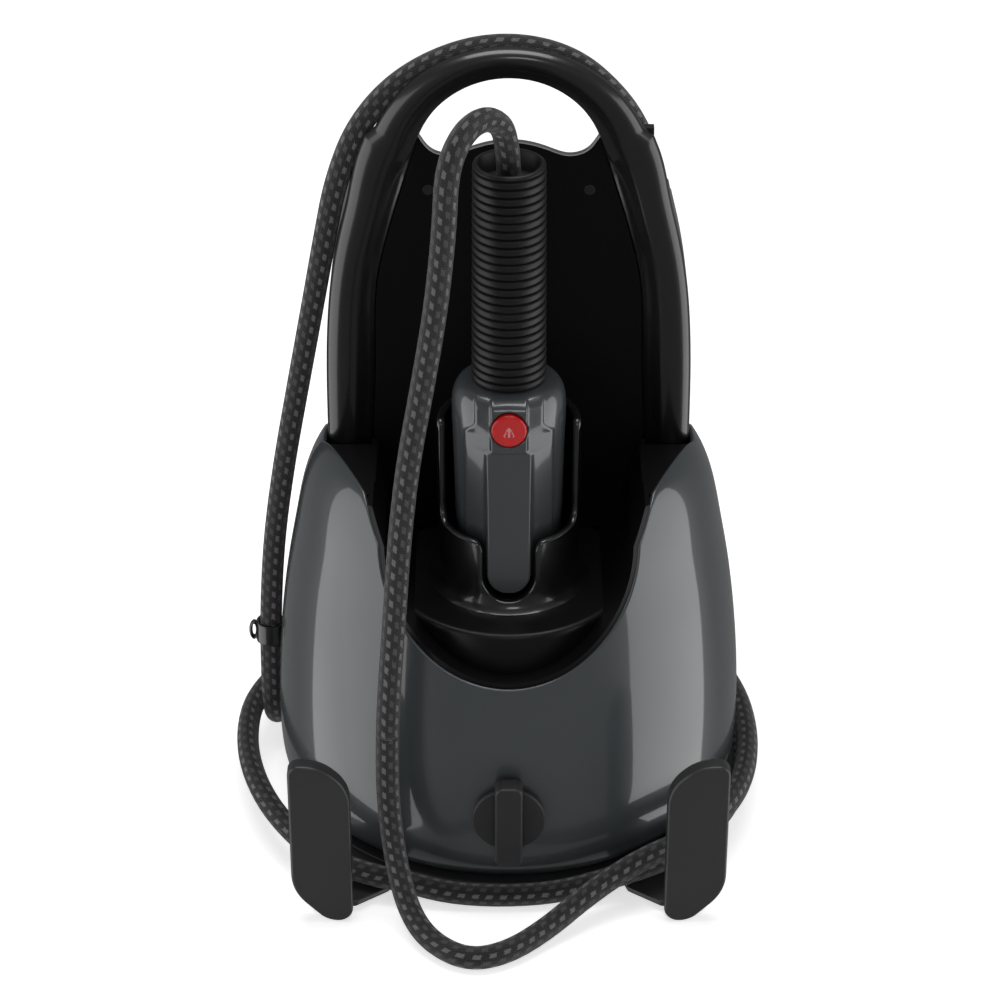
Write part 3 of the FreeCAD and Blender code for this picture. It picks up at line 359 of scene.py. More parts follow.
def resampled(line, count):
    # the same line with its points spread over a new count
    old, new = np.linspace(0, 1, len(line)), np.linspace(0, 1, count)
    return np.stack([np.interp(new, old, line[:, axis]) for axis in (0, 1)], -1)


def lying(low, high):
    # places a plate flat, so that its first face is the upper one
    return lambda p, q, d: np.stack([p, q, low + high - d + 0 * p], -1)


def splineThrough(knots, count):
    # Points evenly spaced along a natural cubic through the knots.
    knots = np.asarray(knots, float)
    chord = np.concatenate([[0], np.cumsum(np.linalg.norm(np.diff(knots, axis=0), axis=1))])
    gaps = np.diff(chord)
    size = len(knots)
    matrix = np.eye(size)
    right = np.zeros_like(knots)
    for k in range(1, size - 1):
        matrix[k, k - 1 : k + 2] = gaps[k - 1], 2 * (gaps[k - 1] + gaps[k]), gaps[k]
        right[k] = 6 * ((knots[k + 1] - knots[k]) / gaps[k] - (knots[k] - knots[k - 1]) / gaps[k - 1])
    bend = np.linalg.solve(matrix, right)
    where = np.linspace(0, chord[-1], count)
    k = np.clip(np.searchsorted(chord, where) - 1, 0, size - 2)
    gap = gaps[k][:, None]
    after = ((where - chord[k])[:, None]) / gap
    before = 1 - after
    curve = before * knots[k] + after * knots[k + 1]
    return curve + ((before**3 - before) * bend[k] + (after**3 - after) * bend[k + 1]) * gap**2 / 6


def roundedLine(corners, radii, step=1.0, closed=False):
    # A polyline whose corners are rounded to the given radii, resampled evenly.
    corners = np.asarray(corners, float)
    count = len(corners)
    pieces = []
    for k in range(count):
        if not closed and k in (0, count - 1):
            pieces.append(corners[k : k + 1])
            continue
        before, corner, after = corners[k - 1], corners[k], corners[(k + 1) % count]
        incoming = (before - corner) / np.linalg.norm(before - corner)
        outgoing = (after - corner) / np.linalg.norm(after - corner)
        half = math.acos(float(np.clip(incoming @ outgoing, -1, 1))) / 2
        radius = radii[k]
        if radius <= 0 or half > math.pi / 2 - 0.02:
            pieces.append(corners[k : k + 1])
            continue
        reach = radius / math.tan(half)
        first, last = corner + incoming * reach, corner + outgoing * reach
        middle = corner + (incoming + outgoing) / np.linalg.norm(incoming + outgoing) * radius / math.sin(half)
        sweep = np.linspace(0, 1, max(5, int(radius * (math.pi - 2 * half) / step) + 2))[:, None]
        arms = (first - middle), (last - middle)
        turn = math.pi - 2 * half
        swung = arms[0] * np.sin((1 - sweep) * turn) + arms[1] * np.sin(sweep * turn)
        pieces.append(middle + swung / math.sin(turn))
    line = np.vstack(pieces + ([pieces[0][:1]] if closed else []))
    length = np.concatenate([[0], np.cumsum(np.linalg.norm(np.diff(line, axis=0), axis=1))])
    keep = np.concatenate([[True], np.diff(length) > 1e-9])
    line, length = line[keep], length[keep]
    amount = max(3, int(length[-1] / step))
    where = np.linspace(0, length[-1], amount + 1)
    result = np.stack([np.interp(where, length, line[:, axis]) for axis in range(line.shape[1])], -1)
    return result[:-1] if closed else result


def turnedSurface(profile, columns=96, centre=(0, 0), shape=None):
    # A closed profile of (radius, height) carried once round an upright axis; shape may change the radius.
    profile = np.asarray(profile, float)
    angle = np.linspace(0, 2 * math.pi, columns, endpoint=False)
    radius = profile[:, :1] * np.ones(columns)
    height = profile[:, 1:] * np.ones(columns)
    if shape:
        radius, height = shape(radius, height, angle)
    points = np.stack([centre[0] + radius * np.cos(angle), centre[1] + radius * np.sin(angle), height], -1)
    return points


flatFace = 0.985  # how far out the one flat face of an uncrowned plate reaches


def roundedPlate(outline, low, high, rounding, crown=0.0, rings=7, place=None):
    # A plate from an outline: rounded along both faces, its top crowned; place turns (p, q, depth) into x, y, z.
    outline = np.asarray(outline, float)
    ahead = np.roll(outline, -1, 0) - np.roll(outline, 1, 0)
    normal = np.stack([ahead[:, 1], -ahead[:, 0]], -1) / np.linalg.norm(ahead, axis=1)[:, None]
    middle = outline.mean(0)
    if ((outline - middle) * normal).sum() < 0:
        normal = -normal
    sweep = np.linspace(0, math.pi / 2, 6)
    rows, depths = [], []
    inner = outline - normal * rounding
    for share in np.linspace(0.12, 1, rings)[:-1] if crown else (flatFace,):
        rows.append(middle + (inner - middle) * share)
        depths.append(low - crown * (1 - share**2))
    for angle in sweep:
        rows.append(outline - normal * rounding * (1 - math.sin(angle)))
        depths.append(low + rounding * (1 - math.cos(angle)))
    for angle in sweep[::-1]:
        rows.append(outline - normal * rounding * (1 - math.sin(angle)))
        depths.append(high - rounding * (1 - math.cos(angle)))
    rows, depths = np.array(rows), np.array(depths)
    depth = np.repeat(depths[:, None], len(outline), 1)
    place = place or (lambda p, q, d: np.stack([p, d, q], -1))
    points = place(rows[..., 0], rows[..., 1], depth)
    if not crown:
        count = len(outline)
        verts, faces = gridSurface(points)
        faces.append(list(range(count)))
        faces.append(list(range((len(rows) - 1) * count, len(rows) * count))[::-1])
        return verts, faces
    top = place(middle[0], middle[1], low - crown)
    bottom = place(middle[0], middle[1], high)
    return gridSurface(points, firstPole=top, lastPole=bottom)


# steam hose

hose = {"radius": 6.25, "sides": 24, "smoothness": 10}
riserRoute = [
    (0, -40, 391), (0, -40, 424), (-9.5, -52, 440), (-22, -68, 440), (-31, -79, 424), (-32.5, -82, 391),
    (-37, -86, 349), (-44.5, -89.5, 305), (-52.5, -95, 262), (-57.5, -103, 218), (-60.5, -112.5, 175),
    (-64, -119.5, 133), (-64.75, -121.5, 111.5),
]
mainRoute = [
    # down the front and the loop on the floor
    (-64.75, -121.5, 111.5), (-65.5, -123.5, 90), (-64.5, -127, 62), (-61, -134, 34), (-54, -148, 12),
    (-42, -167, 6.8), (-22, -182, 6.8), (-1, -176, 6.8), (20, -158, 8), (44, -139, 18), (72, -122, 28),
    # upper turn round the base
    (98, -108, 30), (120, -82, 30), (134, -48, 28), (139.5, -8, 27), (137, 34, 27), (124, 75, 27),
    (98, 107, 27), (60, 126.5, 27), (17, 133.5, 27), (-28, 132.5, 27), (-70, 121, 27), (-106, 99, 27),
    (-133, 68, 27), (-150, 32, 28), (-152, -8, 28), (-145, -45, 27), (-130, -78, 24), (-107, -103, 17),
    # lower turn
    (-80, -116.5, 14.2), (-57, -122.5, 13), (-32, -126.5, 8), (-2, -127.5, 6.8), (28, -125.5, 8),
    (57, -119.5, 13.1), (92, -101.5, 13.6), (116, -72, 13.2), (131, -35, 9), (135, 5, 8), (131, 45, 9),
    (114, 84, 13.1), (87, 111, 13.3), (58, 125, 13), (30, 131.5, 8.5), (0, 133, 8), (-30, 131.5, 8.5),
    (-58, 125, 13), (-87, 111.5, 13.3), (-111, 88, 13.1), (-128, 62, 9.5), (-137, 40, 10),
    # up the side
    (-138, 22, 28), (-137.8, 20, 56), (-136.8, 20, 96), (-133, 20, 146), (-125.5, 19.5, 196),
    (-116, 18.5, 246), (-106.5, 18, 295), (-98, 17, 340), (-91.5, 16.2, 372),
    # over the arch and down behind it
    (-79.5, 15.5, 404), (-57.5, 15.5, 430), (-26, 15.5, 446.5), (5, 15.5, 450), (34.5, 15.5, 441.5),
    (57, 15.5, 420.5), (70.5, 22, 395), (75.5, 42, 366), (74, 55, 334), (68.5, 60.5, 304), (66, 62, 278),
    (66, 62, 262),
]


def hosePath(name, route):
    # The points of a smooth open spline steered by the route, in metres.
    curve = bpy.data.curves.new(name + "Line", "CURVE")
    curve.dimensions = "3D"
    spline = curve.splines.new("NURBS")
    spline.points.add(len(route) - 1)
    for point, place in zip(spline.points, route):
        point.co = (*(value * mm for value in place), 1)
    spline.order_u = 3
    spline.use_endpoint_u = True
    spline.resolution_u = hose["smoothness"]
    holder = bpy.data.objects.new(name + "Line", curve)
    mesh = bpy.data.meshes.new_from_object(holder)
    points = np.empty(len(mesh.vertices) * 3)
    mesh.vertices.foreach_get("co", points)
    bpy.data.objects.remove(holder)
    bpy.data.curves.remove(curve)
    bpy.data.meshes.remove(mesh)
    points = points.reshape(-1, 3)
    keep = np.concatenate([[True], np.linalg.norm(np.diff(points, axis=0), axis=1) > 1e-6])
    return points[keep]


def tubeAlong(name, path, radius, sides, finish):
    # A round tube: a circle carried along the path in a frame that does not twist; both ends closed.
    ahead = np.gradient(path, axis=0)
    ahead /= np.linalg.norm(ahead, axis=1)[:, None]
    side = np.zeros_like(path)
    side[0] = np.cross(ahead[0], (0.3, 1, 0.1))
    side[0] /= np.linalg.norm(side[0])
    for k in range(1, len(path)):
        carried = side[k - 1] - ahead[k] * (side[k - 1] @ ahead[k])
        side[k] = carried / np.linalg.norm(carried)
    up = np.cross(ahead, side)
    angle = np.linspace(0, 2 * math.pi, sides, endpoint=False)
    cos, sin = np.cos(angle)[None, :, None], np.sin(angle)[None, :, None]
    rings = path[:, None] + radius * (cos * side[:, None] + sin * up[:, None])
    count = len(path)
    verts = np.vstack([rings.reshape(-1, 3), path[:1], path[-1:]])
    quads = gridFaces(count, sides)[:, ::-1]
    startFaces = poleFaces(0, sides, count * sides, True)[:, ::-1]
    endFaces = poleFaces((count - 1) * sides, sides, count * sides + 1)[:, ::-1]
    mesh = bpy.data.meshes.new(name)
    mesh.from_pydata(verts.tolist(), [], quads.tolist() + startFaces.tolist() + endFaces.tolist())
    length = np.concatenate([[0], np.cumsum(np.linalg.norm(np.diff(path, axis=0), axis=1))])
    i, j = np.meshgrid(np.arange(count - 1), np.arange(sides), indexing="ij")
    corners = np.stack([np.stack([length[i], j / sides], -1), np.stack([length[i], (j + 1) / sides], -1),
                        np.stack([length[i + 1], (j + 1) / sides], -1), np.stack([length[i + 1], j / sides], -1)], 2)
    corners = corners.reshape(-1, 4, 2)[:, ::-1].reshape(-1, 2)
    layer = mesh.uv_layers.new(name="alongHose")
    full = np.zeros((len(mesh.loops), 2))
    full[: len(corners)] = corners
    layer.data.foreach_set("uv", full.ravel())
    mesh.polygons.foreach_set("use_smooth", np.ones(len(mesh.polygons), bool))
    mesh.materials.append(finishes[finish])
    piece = bpy.data.objects.new(name, mesh)
    bpy.context.collection.objects.link(piece)
    return piece, float(length[-1])


def buildHose():
    clip = buildClip()
    riserPath = hosePath("riser", riserRoute)
    riser, riserLength = tubeAlong("steamHoseRiser", riserPath, hose["radius"] * mm, hose["sides"], "hoseBraid")
    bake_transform(riser)
    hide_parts("hose_riser")
    mainPath = hosePath("main", mainRoute)
    main, mainLength = tubeAlong("steamHoseMain", mainPath, hose["radius"] * mm, hose["sides"], "hoseBraid")
    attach(main, base)
    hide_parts("hose_main")
    print("hose", round(riserLength, 3), round(mainLength, 3))


clipLook = {"centre": (-137.35, 20, 84.5), "bore": 6.45, "outer": 8.2, "half": 6.5, "tilt": 1.4,
            "loopMiddle": -9.4, "loopHalf": (1.9, 5.2), "wire": 1.0, "loopWidth": 2.2}


def buildClip():
    # A collar round the hose with a small loop standing off its outer side.
    profile = roundedLine([(clipLook["bore"], -clipLook["half"]), (clipLook["outer"], -clipLook["half"]),
                           (clipLook["outer"], clipLook["half"]), (clipLook["bore"], clipLook["half"])],
                          [0.6] * 4, 0.5, True)
    collar = turnedSurface(profile, 48)
    angle = np.linspace(0, 2 * math.pi, 40, endpoint=False)
    around = np.linspace(0, 2 * math.pi, 12, endpoint=False)
    ringHalf, wire = clipLook["loopHalf"], clipLook["wire"]
    x = clipLook["loopMiddle"] + ringHalf[0] * np.cos(angle)
    middle = np.stack([x, 0 * angle, ringHalf[1] * np.sin(angle)], -1)
    out = np.stack([np.cos(angle), 0 * angle, np.sin(angle)], -1)
    loop = middle[:, None] + wire * (np.cos(around)[None, :, None] * out[:, None]
                                     + np.sin(around)[None, :, None] * np.array([0, clipLook["loopWidth"], 0]))
    surface = joined(gridSurface(collar, closeRows=True), gridSurface(loop, closeRows=True))
    tilt = np.array(Matrix.Rotation(math.radians(clipLook["tilt"]), 3, "Y"))
    points = surface[0] @ tilt.T + np.array(clipLook["centre"])
    return makePiece("hoseClip", (points, surface[1]), "glossBlack", replaces=("hose_clip",))


# grey body shell

shell = {"wall": 3.0, "lip": 1.0, "rows": 64, "depthShare": 0.92}
eggSections = [(120.0, 8.0), (126.5, 16.0), (131.0, 35.0), (131.4, 60.0), (130.0, 90.0), (127.2, 120.0),
               (123.0, 150.0), (117.4, 180.0), (111.6, 205.0), (105.0, 219.0), (97.0, 227.0), (88.0, 230.0),
               (60.0, 231.0), (30.0, 231.3)]
meridian = splineThrough(eggSections, 900)
meridianLength = np.concatenate([[0], np.cumsum(np.linalg.norm(np.diff(meridian, axis=0), axis=1))])


def eggSurface(angle, reach, depth=0.0):
    # Elliptical rings stacked along the meridian: a point at an angle and a length up the meridian,
    # moved inwards along the surface normal by a depth.
    def at(turn, length):
        half = np.interp(length, meridianLength, meridian[:, 0])
        height = np.interp(length, meridianLength, meridian[:, 1])
        return np.stack([half * np.cos(turn), shell["depthShare"] * half * np.sin(turn), height], -1)

    point = at(angle, reach)
    across = at(angle + 1e-3, reach) - at(angle - 1e-3, reach)
    upward = at(angle, reach + 1.0) - at(angle, reach - 1.0)
    normal = np.cross(across, upward)
    normal /= np.linalg.norm(normal, axis=-1, keepdims=True)
    return point - normal * depth


def reachAtHeight(height):
    climb = meridian[:, 1] - np.linspace(0, 1e-6, len(meridian))[::-1]
    return np.interp(height, np.maximum.accumulate(climb), meridianLength)


def reachAtHalf(half):
    top = meridian[:, 0].argmax()
    return np.interp(-np.asarray(half), -meridian[top:, 0], meridianLength[top:])


def eggFromFront(x, z, back=False):
    # Angle and meridian length of the surface point seen at x and z from the front or the back.
    reach = reachAtHeight(z)
    half = np.interp(reach, meridianLength, meridian[:, 0])
    depth = np.sqrt(np.maximum(half**2 - x**2, 0)) * (1 if back else -1)
    return np.arctan2(depth, x), reach


def eggFromAbove(x, y):
    half = np.hypot(x, y / shell["depthShare"])
    return np.arctan2(y / shell["depthShare"], x), reachAtHalf(half)


def rimmedWall(surface, low, rim, wall, lip, rows, closeColumns=True):
    # A wall between a lower line and a rim on a surface, both given as (a, b) pairs: up the outside,
    # over a rim with two rounded edges, and down the inside.
    share = np.linspace(0, 1, rows)[:, None]
    a = low[0] + (rim[0] - low[0]) * share
    b = low[1] + (rim[1] - low[1]) * share
    outside, inside = surface(a, b, 0.0), surface(a, b, wall)
    edge, inner = outside[-1], inside[-1]
    along = np.roll(edge, -1, 0) - np.roll(edge, 1, 0)
    along[0], along[-1] = (along[1], along[-2]) if not closeColumns else (along[0], along[-1])
    inward = (inner - edge) / wall
    opening = np.cross(along, inward)
    opening /= np.linalg.norm(opening, axis=1)[:, None]
    opening *= np.sign(((edge - outside[-4]) * opening).sum(1).mean())
    arc = []
    for angle in np.linspace(0, math.pi / 2, 5):
        arc.append(edge + opening * (lip * math.sin(angle) - lip) + inward * (lip - lip * math.cos(angle)))
    for angle in np.linspace(math.pi / 2, 0, 5):
        arc.append(inner + opening * (lip * math.sin(angle) - lip) - inward * (lip - lip * math.cos(angle)))
    points = np.concatenate([outside[:-1], np.array(arc), inside[:-1][::-1]])
    return points


recess = {"radius": 69.0, "centre": 205.0, "topX": 77.0, "topZ": 225.0}
topCorners = [(92.0, -23.0), (98.5, -8.0), (101.6, -1.2), (101.6, 35.4)]
tankCut = {"half": 53.0, "low": 190.0, "high": 228.5, "front": 35.4, "back": 66}


def recessLine(step=1.0, shrink=0.0, top=None):
    # Half of the recess outline in x and z, from its lowest point up its right side.
    radius = recess["radius"] - shrink
    angle = np.linspace(-math.pi / 2, 0, int(radius * math.pi / 2 / step))
    arc = np.stack([radius * np.cos(angle), recess["centre"] + radius * np.sin(angle)], -1)
    top = top or recess["topZ"]
    end = np.array([recess["topX"] - shrink + (top - recess["topZ"]) * 0.4, top])
    share = np.linspace(0, 1, int((top - recess["centre"]) / step) + 2)[1:, None]
    return np.vstack([arc, arc[-1] + (end - arc[-1]) * share])


def buildShell():
    right = recessLine(1.0)
    a, b = eggFromFront(right[:, 0], right[:, 1])
    start = eggSurface(a[-1:], b[-1:])[0]
    half = tankCut["half"]
    plan = [start[:2], *topCorners, (half, tankCut["front"]), (half, tankCut["back"])]
    plan = roundedLine(plan, [0, 4, 2, 2, 2, 2, 0], 1.3)[1:]
    a2, b2 = eggFromAbove(plan[:, 0], plan[:, 1])
    heights = np.linspace(tankCut["high"], tankCut["low"], 32)
    a3, b3 = eggFromFront(np.full(32, half), heights, True)
    across = np.linspace(half, 0, 42)[1:]
    a4, b4 = eggFromFront(across, np.full(41, tankCut["low"]), True)
    rightA, rightB = np.concatenate([a, a2, a3, a4]), np.concatenate([b, b2, b3, b4])
    rimA = np.concatenate([rightA, math.pi - rightA[::-1][1:-1]])
    rimB = np.concatenate([rightB, rightB[::-1][1:-1]])
    rimPoints = eggSurface(rimA, rimB)
    steps = np.linalg.norm(np.roll(rimPoints, -1, 0) - rimPoints, axis=1)
    length = np.concatenate([[0], np.cumsum(steps)])
    lowA = -math.pi / 2 + 2 * math.pi * length[:-1] / length[-1]
    lowA = 0.55 * lowA + 0.45 * rimA
    foot = (lowA, np.zeros_like(lowA))
    wall = rimmedWall(eggSurface, foot, (rimA, rimB), shell["wall"], shell["lip"], shell["rows"])
    makePiece("bodyShell", gridSurface(wall, closeRows=True), "glossGrey", replaces=("body_shell",),
              sharp=60)
    print("body shell", len(rimA), "columns")


# black lining of the recess

liner = {"gap": 0.4, "wall": 2.6, "front": 1.4, "back": 5.6, "top": 221.0, "drumRadius": 66.0, "drumY": -38.5,
         "drumLow": 120, "ledge": 163.0, "ledgeWall": 4, "shoulder": (217.8, 220.8), "seat": (210.9, 213.7)}
shoulderLine = [(76, -56), (91.5, -23.5), (98, -8.5), (100, -0.6), (71.4, -0.6), (71.4, -40)]
seatLine = [(100.4, 0), (100.4, 34.6), (71, 34.6), (71, 0)]


def mirroredLine(half):
    # A left-right symmetrical line from its right half, running from the left end to the right end.
    return np.vstack([half[::-1][:-1] * (-1, 1), half])


def buildLiner():
    outer = mirroredLine(recessLine(1.4, liner["gap"], liner["top"]))
    inner = mirroredLine(recessLine(1.4, liner["gap"] + liner["wall"], liner["top"]))
    count = min(len(outer), len(inner))
    outer, inner = resampled(outer, count), resampled(inner, count)

    def frontDepth(line):
        angle, reach = eggFromFront(line[:, 0], line[:, 1])
        return eggSurface(angle, reach, liner["front"])[:, 1]

    share = np.linspace(0, 1, 14)[:, None]
    rows = []
    for line, shares in ((outer, share), (inner, share[::-1])):
        front = frontDepth(line)
        depth = front + (liner["back"] - front) * shares
        x, z = (np.broadcast_to(line[:, axis], depth.shape) for axis in (0, 1))
        rows.append(np.stack([x, depth, z], -1))
    channel = barSurface(np.concatenate(rows))
    low, ledge = liner["drumLow"], liner["ledge"]
    under = ledge - liner["ledgeWall"]
    drum = [(60, low), (liner["drumRadius"], low), (liner["drumRadius"], ledge), (34, ledge), (34, under), (60, under)]
    drum = roundedLine(drum, [0.6, 0.6, 3.2, 0.8, 0.8, 2], 0.8, True)
    drumPoints = turnedSurface(drum, 160, (0, liner["drumY"]))
    surfaces = [channel, gridSurface(drumPoints, closeRows=True)]
    for side in (-1, 1):
        shoulder = roundedLine([(side * x, y) for x, y in shoulderLine], [1] * 6, 2.0, True)
        surfaces.append(roundedPlate(shoulder, *liner["shoulder"], 0.5, place=lying(*liner["shoulder"])))
        seat = roundedLine([(side * x, y) for x, y in seatLine], [1] * 4, 3.0, True)
        surfaces.append(roundedPlate(seat, *liner["seat"], 0.4, place=lying(*liner["seat"])))
    makePiece("recessLining", joined(*surfaces), "linerBlack", replaces=("dock_liner",), sharp=40)
    print("lining")


# dock cup

cup = {"centreY": -40.0, "radius": 38.5, "bore": 34.0, "low": 163.2, "floor": 166.0, "front": 203.0, "ears": 261.0,
       "notchHalf": 14.6, "notchLow": 168.0, "cornerOut": 6.0, "earCorner": 9.0, "earX": 8, "lip": 2.1,
       "spread": 5.5, "spreadHeight": 3.2}


def cupSurface(along, height, depth=0.0):
    # A round wall: along is measured on its outside from the front, depth goes towards its axis;
    # its foot spreads into a fillet.
    spread = cup["spread"] * np.exp(-np.maximum(height - cup["low"], 0) / cup["spreadHeight"])
    radius = cup["radius"] + spread * (1 - np.clip(depth / (cup["radius"] - cup["bore"]), 0, 1)) - depth
    angle = along / cup["radius"] - math.pi / 2
    return np.stack([radius * np.cos(angle), cup["centreY"] + radius * np.sin(angle), height + 0 * angle], -1)


def buildCup():
    radius = cup["radius"]
    earAlong = radius * math.acos(cup["earX"] / radius)
    half = math.pi * radius
    notch = radius * math.asin(cup["notchHalf"] / radius)
    corners = [(0, cup["notchLow"]), (notch, cup["notchLow"]), (notch, cup["front"]), (earAlong, cup["front"]),
               (earAlong + 1.5, cup["ears"]), (half, cup["ears"])]
    right = roundedLine(corners, [0, notch * 0.92, cup["cornerOut"], cup["earCorner"], 5, 0], 0.6)
    rim = np.vstack([right, np.stack([2 * half - right[::-1][1:-1, 0], right[::-1][1:-1, 1]], -1)])
    steps = np.linalg.norm(np.roll(rim, -1, 0) - rim, axis=1)
    steps[-1] = 0.6
    length = np.concatenate([[0], np.cumsum(steps)])
    lowAlong = 2 * half * length[:-1] / length[-1]
    lowAlong = 0.25 * lowAlong + 0.75 * rim[:, 0]
    foot = (lowAlong, np.full(len(rim), cup["low"]))
    wall = rimmedWall(cupSurface, foot, (rim[:, 0], rim[:, 1]), radius - cup["bore"], cup["lip"], 56)
    floor = [(12.5, cup["low"]), (33.8, cup["low"]), (33.8, cup["floor"]), (12.5, cup["floor"])]
    floor = roundedLine(floor, [0.4, 0.4, 1, 1], 0.7, True)
    floorPoints = turnedSurface(floor, 96, (0, cup["centreY"]))
    makePiece("dockCup", joined(gridSurface(wall, closeRows=True), gridSurface(floorPoints, closeRows=True)),
              "cupBlack", replaces=("dock_cup",), sharp=60)
    print("cup")


# carrying arch

arch = {"centre": 375.0, "radius": 76.8, "innerCentre": 385.0, "innerRadius": 50.0, "floor": 65.2, "backLip": 69.5,
        # where each change starts and ends: degrees round the arch, and heights for the bevel
        "grooveStart": (-3, 1), "grooveStop": (173, 177), "gapStart": (-9, -5), "gapStop": (58, 62),
        "lipStart": (40, 60), "bevelFade": (372, 402)}
outerLeg = [(70.2, 407.5), (75.4, 402.5), (79.4, 392.0), (85.2, 367), (90.6, 344), (95.0, 320), (97.5, 296),
            (98.8, 271), (99.3, 240), (99.3, 214)]
innerLeg = [(49.2, 394), (54.6, 376), (60.6, 356), (65.4, 338), (69.2, 320), (71.3, 286), (72.6, 245), (74, 222),
            (74.2, 214)]


def archLine(radius, centre, leg, legCount, topCount):
    # From the right foot up the leg, over the round top and down to the left foot, with its outward normals.
    first = math.asin((leg[0][1] - centre) / radius)
    angle = np.linspace(first, math.pi - first, topCount)
    top = np.stack([radius * np.cos(angle), centre + radius * np.sin(angle)], -1)
    side = splineThrough(leg[1:], legCount - 6) if leg is outerLeg else splineThrough(leg, legCount)[1:]
    if leg is outerLeg:
        share = np.linspace(0, 1, 8)[1:-1, None]
        side = np.vstack([top[0] + (side[0] - top[0]) * share, side])
    line = np.vstack([side[::-1], top, side * (-1, 1)])
    ahead = np.gradient(line, axis=0)
    normal = np.stack([ahead[:, 1], -ahead[:, 0]], -1)
    return line, normal / np.linalg.norm(normal, axis=1)[:, None]


def archSection():
    # The rail's cross section as (share of the way from inner to outer edge, offset outwards, depth): a narrow
    # bevel beside the panel, a broad rounded face, then the sides and the back.
    front = [(0, 0, 12.0), (0, 0.1, 9.0), (0, 0.5, 7.2), (0, 1.4, 6.2), (0, 4.2, 4.6), (0, 6.0, 3.9), (0, 6.8, 3.2),
             (0.30, 0.6, 2.4), (0.36, 0, 1.6), (0.44, 0, 0.8), (0.54, 0, 0.2), (0.64, 0, 0.0), (0.74, 0, 0.25),
             (0.83, 0, 1.0), (0.90, 0, 2.1), (0.95, 0, 3.3), (0.985, 0, 4.8), (1, 0, 6.4), (1, 0, 7.3)]
    outer = [(1, 0, 7.6), (1, 0, 8.0), (1, 0, 12), (1, 0, 15.6), (1, 0, 19), (1, 0, 23.0), (1, 0, 23.4), (1, 0, 23.8),
             (1, 0, 27), (1, 0, 30.6)]
    back = [(1, -0.6, 32.4), (1, -2, 33.6), (1, -4, 34), (0.5, 0, 34), (0, 4, 34), (0, 2, 33.6), (0, 0.6, 32.4),
            (0, 0, 30), (0, 0, 22)]
    return np.array(front + outer + back, float)


def buildArch():
    outerLine, normal = archLine(arch["radius"], arch["centre"], outerLeg, 90, 180)
    innerLine, _ = archLine(arch["innerRadius"], arch["innerCentre"], innerLeg, 90, 180 - 2)
    innerLine = resampled(innerLine, len(outerLine))
    section = archSection()
    share, offset, depth = section[:, 0][:, None], section[:, 1][:, None], section[:, 2][:, None]
    toCentre = outerLine - (0, arch["centre"])
    reach = np.linalg.norm(toCentre, axis=1)
    degrees = np.degrees(np.arctan2(toCentre[:, 1], toCentre[:, 0]))
    degrees = np.where(degrees < -90, degrees + 360, degrees)[None, :]
    beforeStop = 1 - ease(degrees, *arch["grooveStop"])
    channel = ease(degrees, *arch["grooveStart"]) * beforeStop
    inGroove = ((section[:, 2] > 7.7) & (section[:, 2] < 23.3) & (section[:, 0] == 1))[:, None]
    behind = ((section[:, 2] > 23.3) & (section[:, 0] == 1))[:, None]
    openBack = ease(degrees, *arch["gapStart"]) * (1 - ease(degrees, *arch["gapStop"]))
    sunk = (reach - arch["floor"])[None, :] * (channel * inGroove + openBack * behind)
    behindLow = (reach - arch["backLip"])[None, :] * beforeStop * ease(degrees, *arch["lipStart"]) * behind
    sunk = np.maximum(sunk, behindLow)
    beside = 1 - ease(innerLine[:, 1], *arch["bevelFade"])[None, :]
    beside = np.where((share < 0.5) & (depth < 13) & (offset > 0), 0.15 + 0.85 * beside, 1)
    across = outerLine * share[..., None] + innerLine * (1 - share[..., None])
    inward = toCentre / reach[:, None]
    flat = across + normal * (offset * beside)[..., None] - inward * sunk[..., None]
    points = np.stack([flat[..., 0], depth + 0 * flat[..., 0], flat[..., 1]], -1)
    makePiece("carryingArch", barSurface(points), "glossBlack", replaces=("handle_front_shell", "handle_rear_shell"),
              sharp=42)
    print("arch")


# panel between the rails

panel = {"front": 6.0, "back": 8.8, "overlap": 0.5, "low": 216, "railFoot": 222,
         "screwX": 42.5, "screwZ": 371.5, "screwRadius": 2.9, "socketRadius": 1.5}
holeEdge = [(47.5, 402.9), (45.8, 400.2), (43.5, 396.8), (40.2, 393.8), (36, 392.0), (31, 391.5), (25, 393.0),
            (19, 395.4), (12, 397.6), (5, 398.8), (0, 399)]


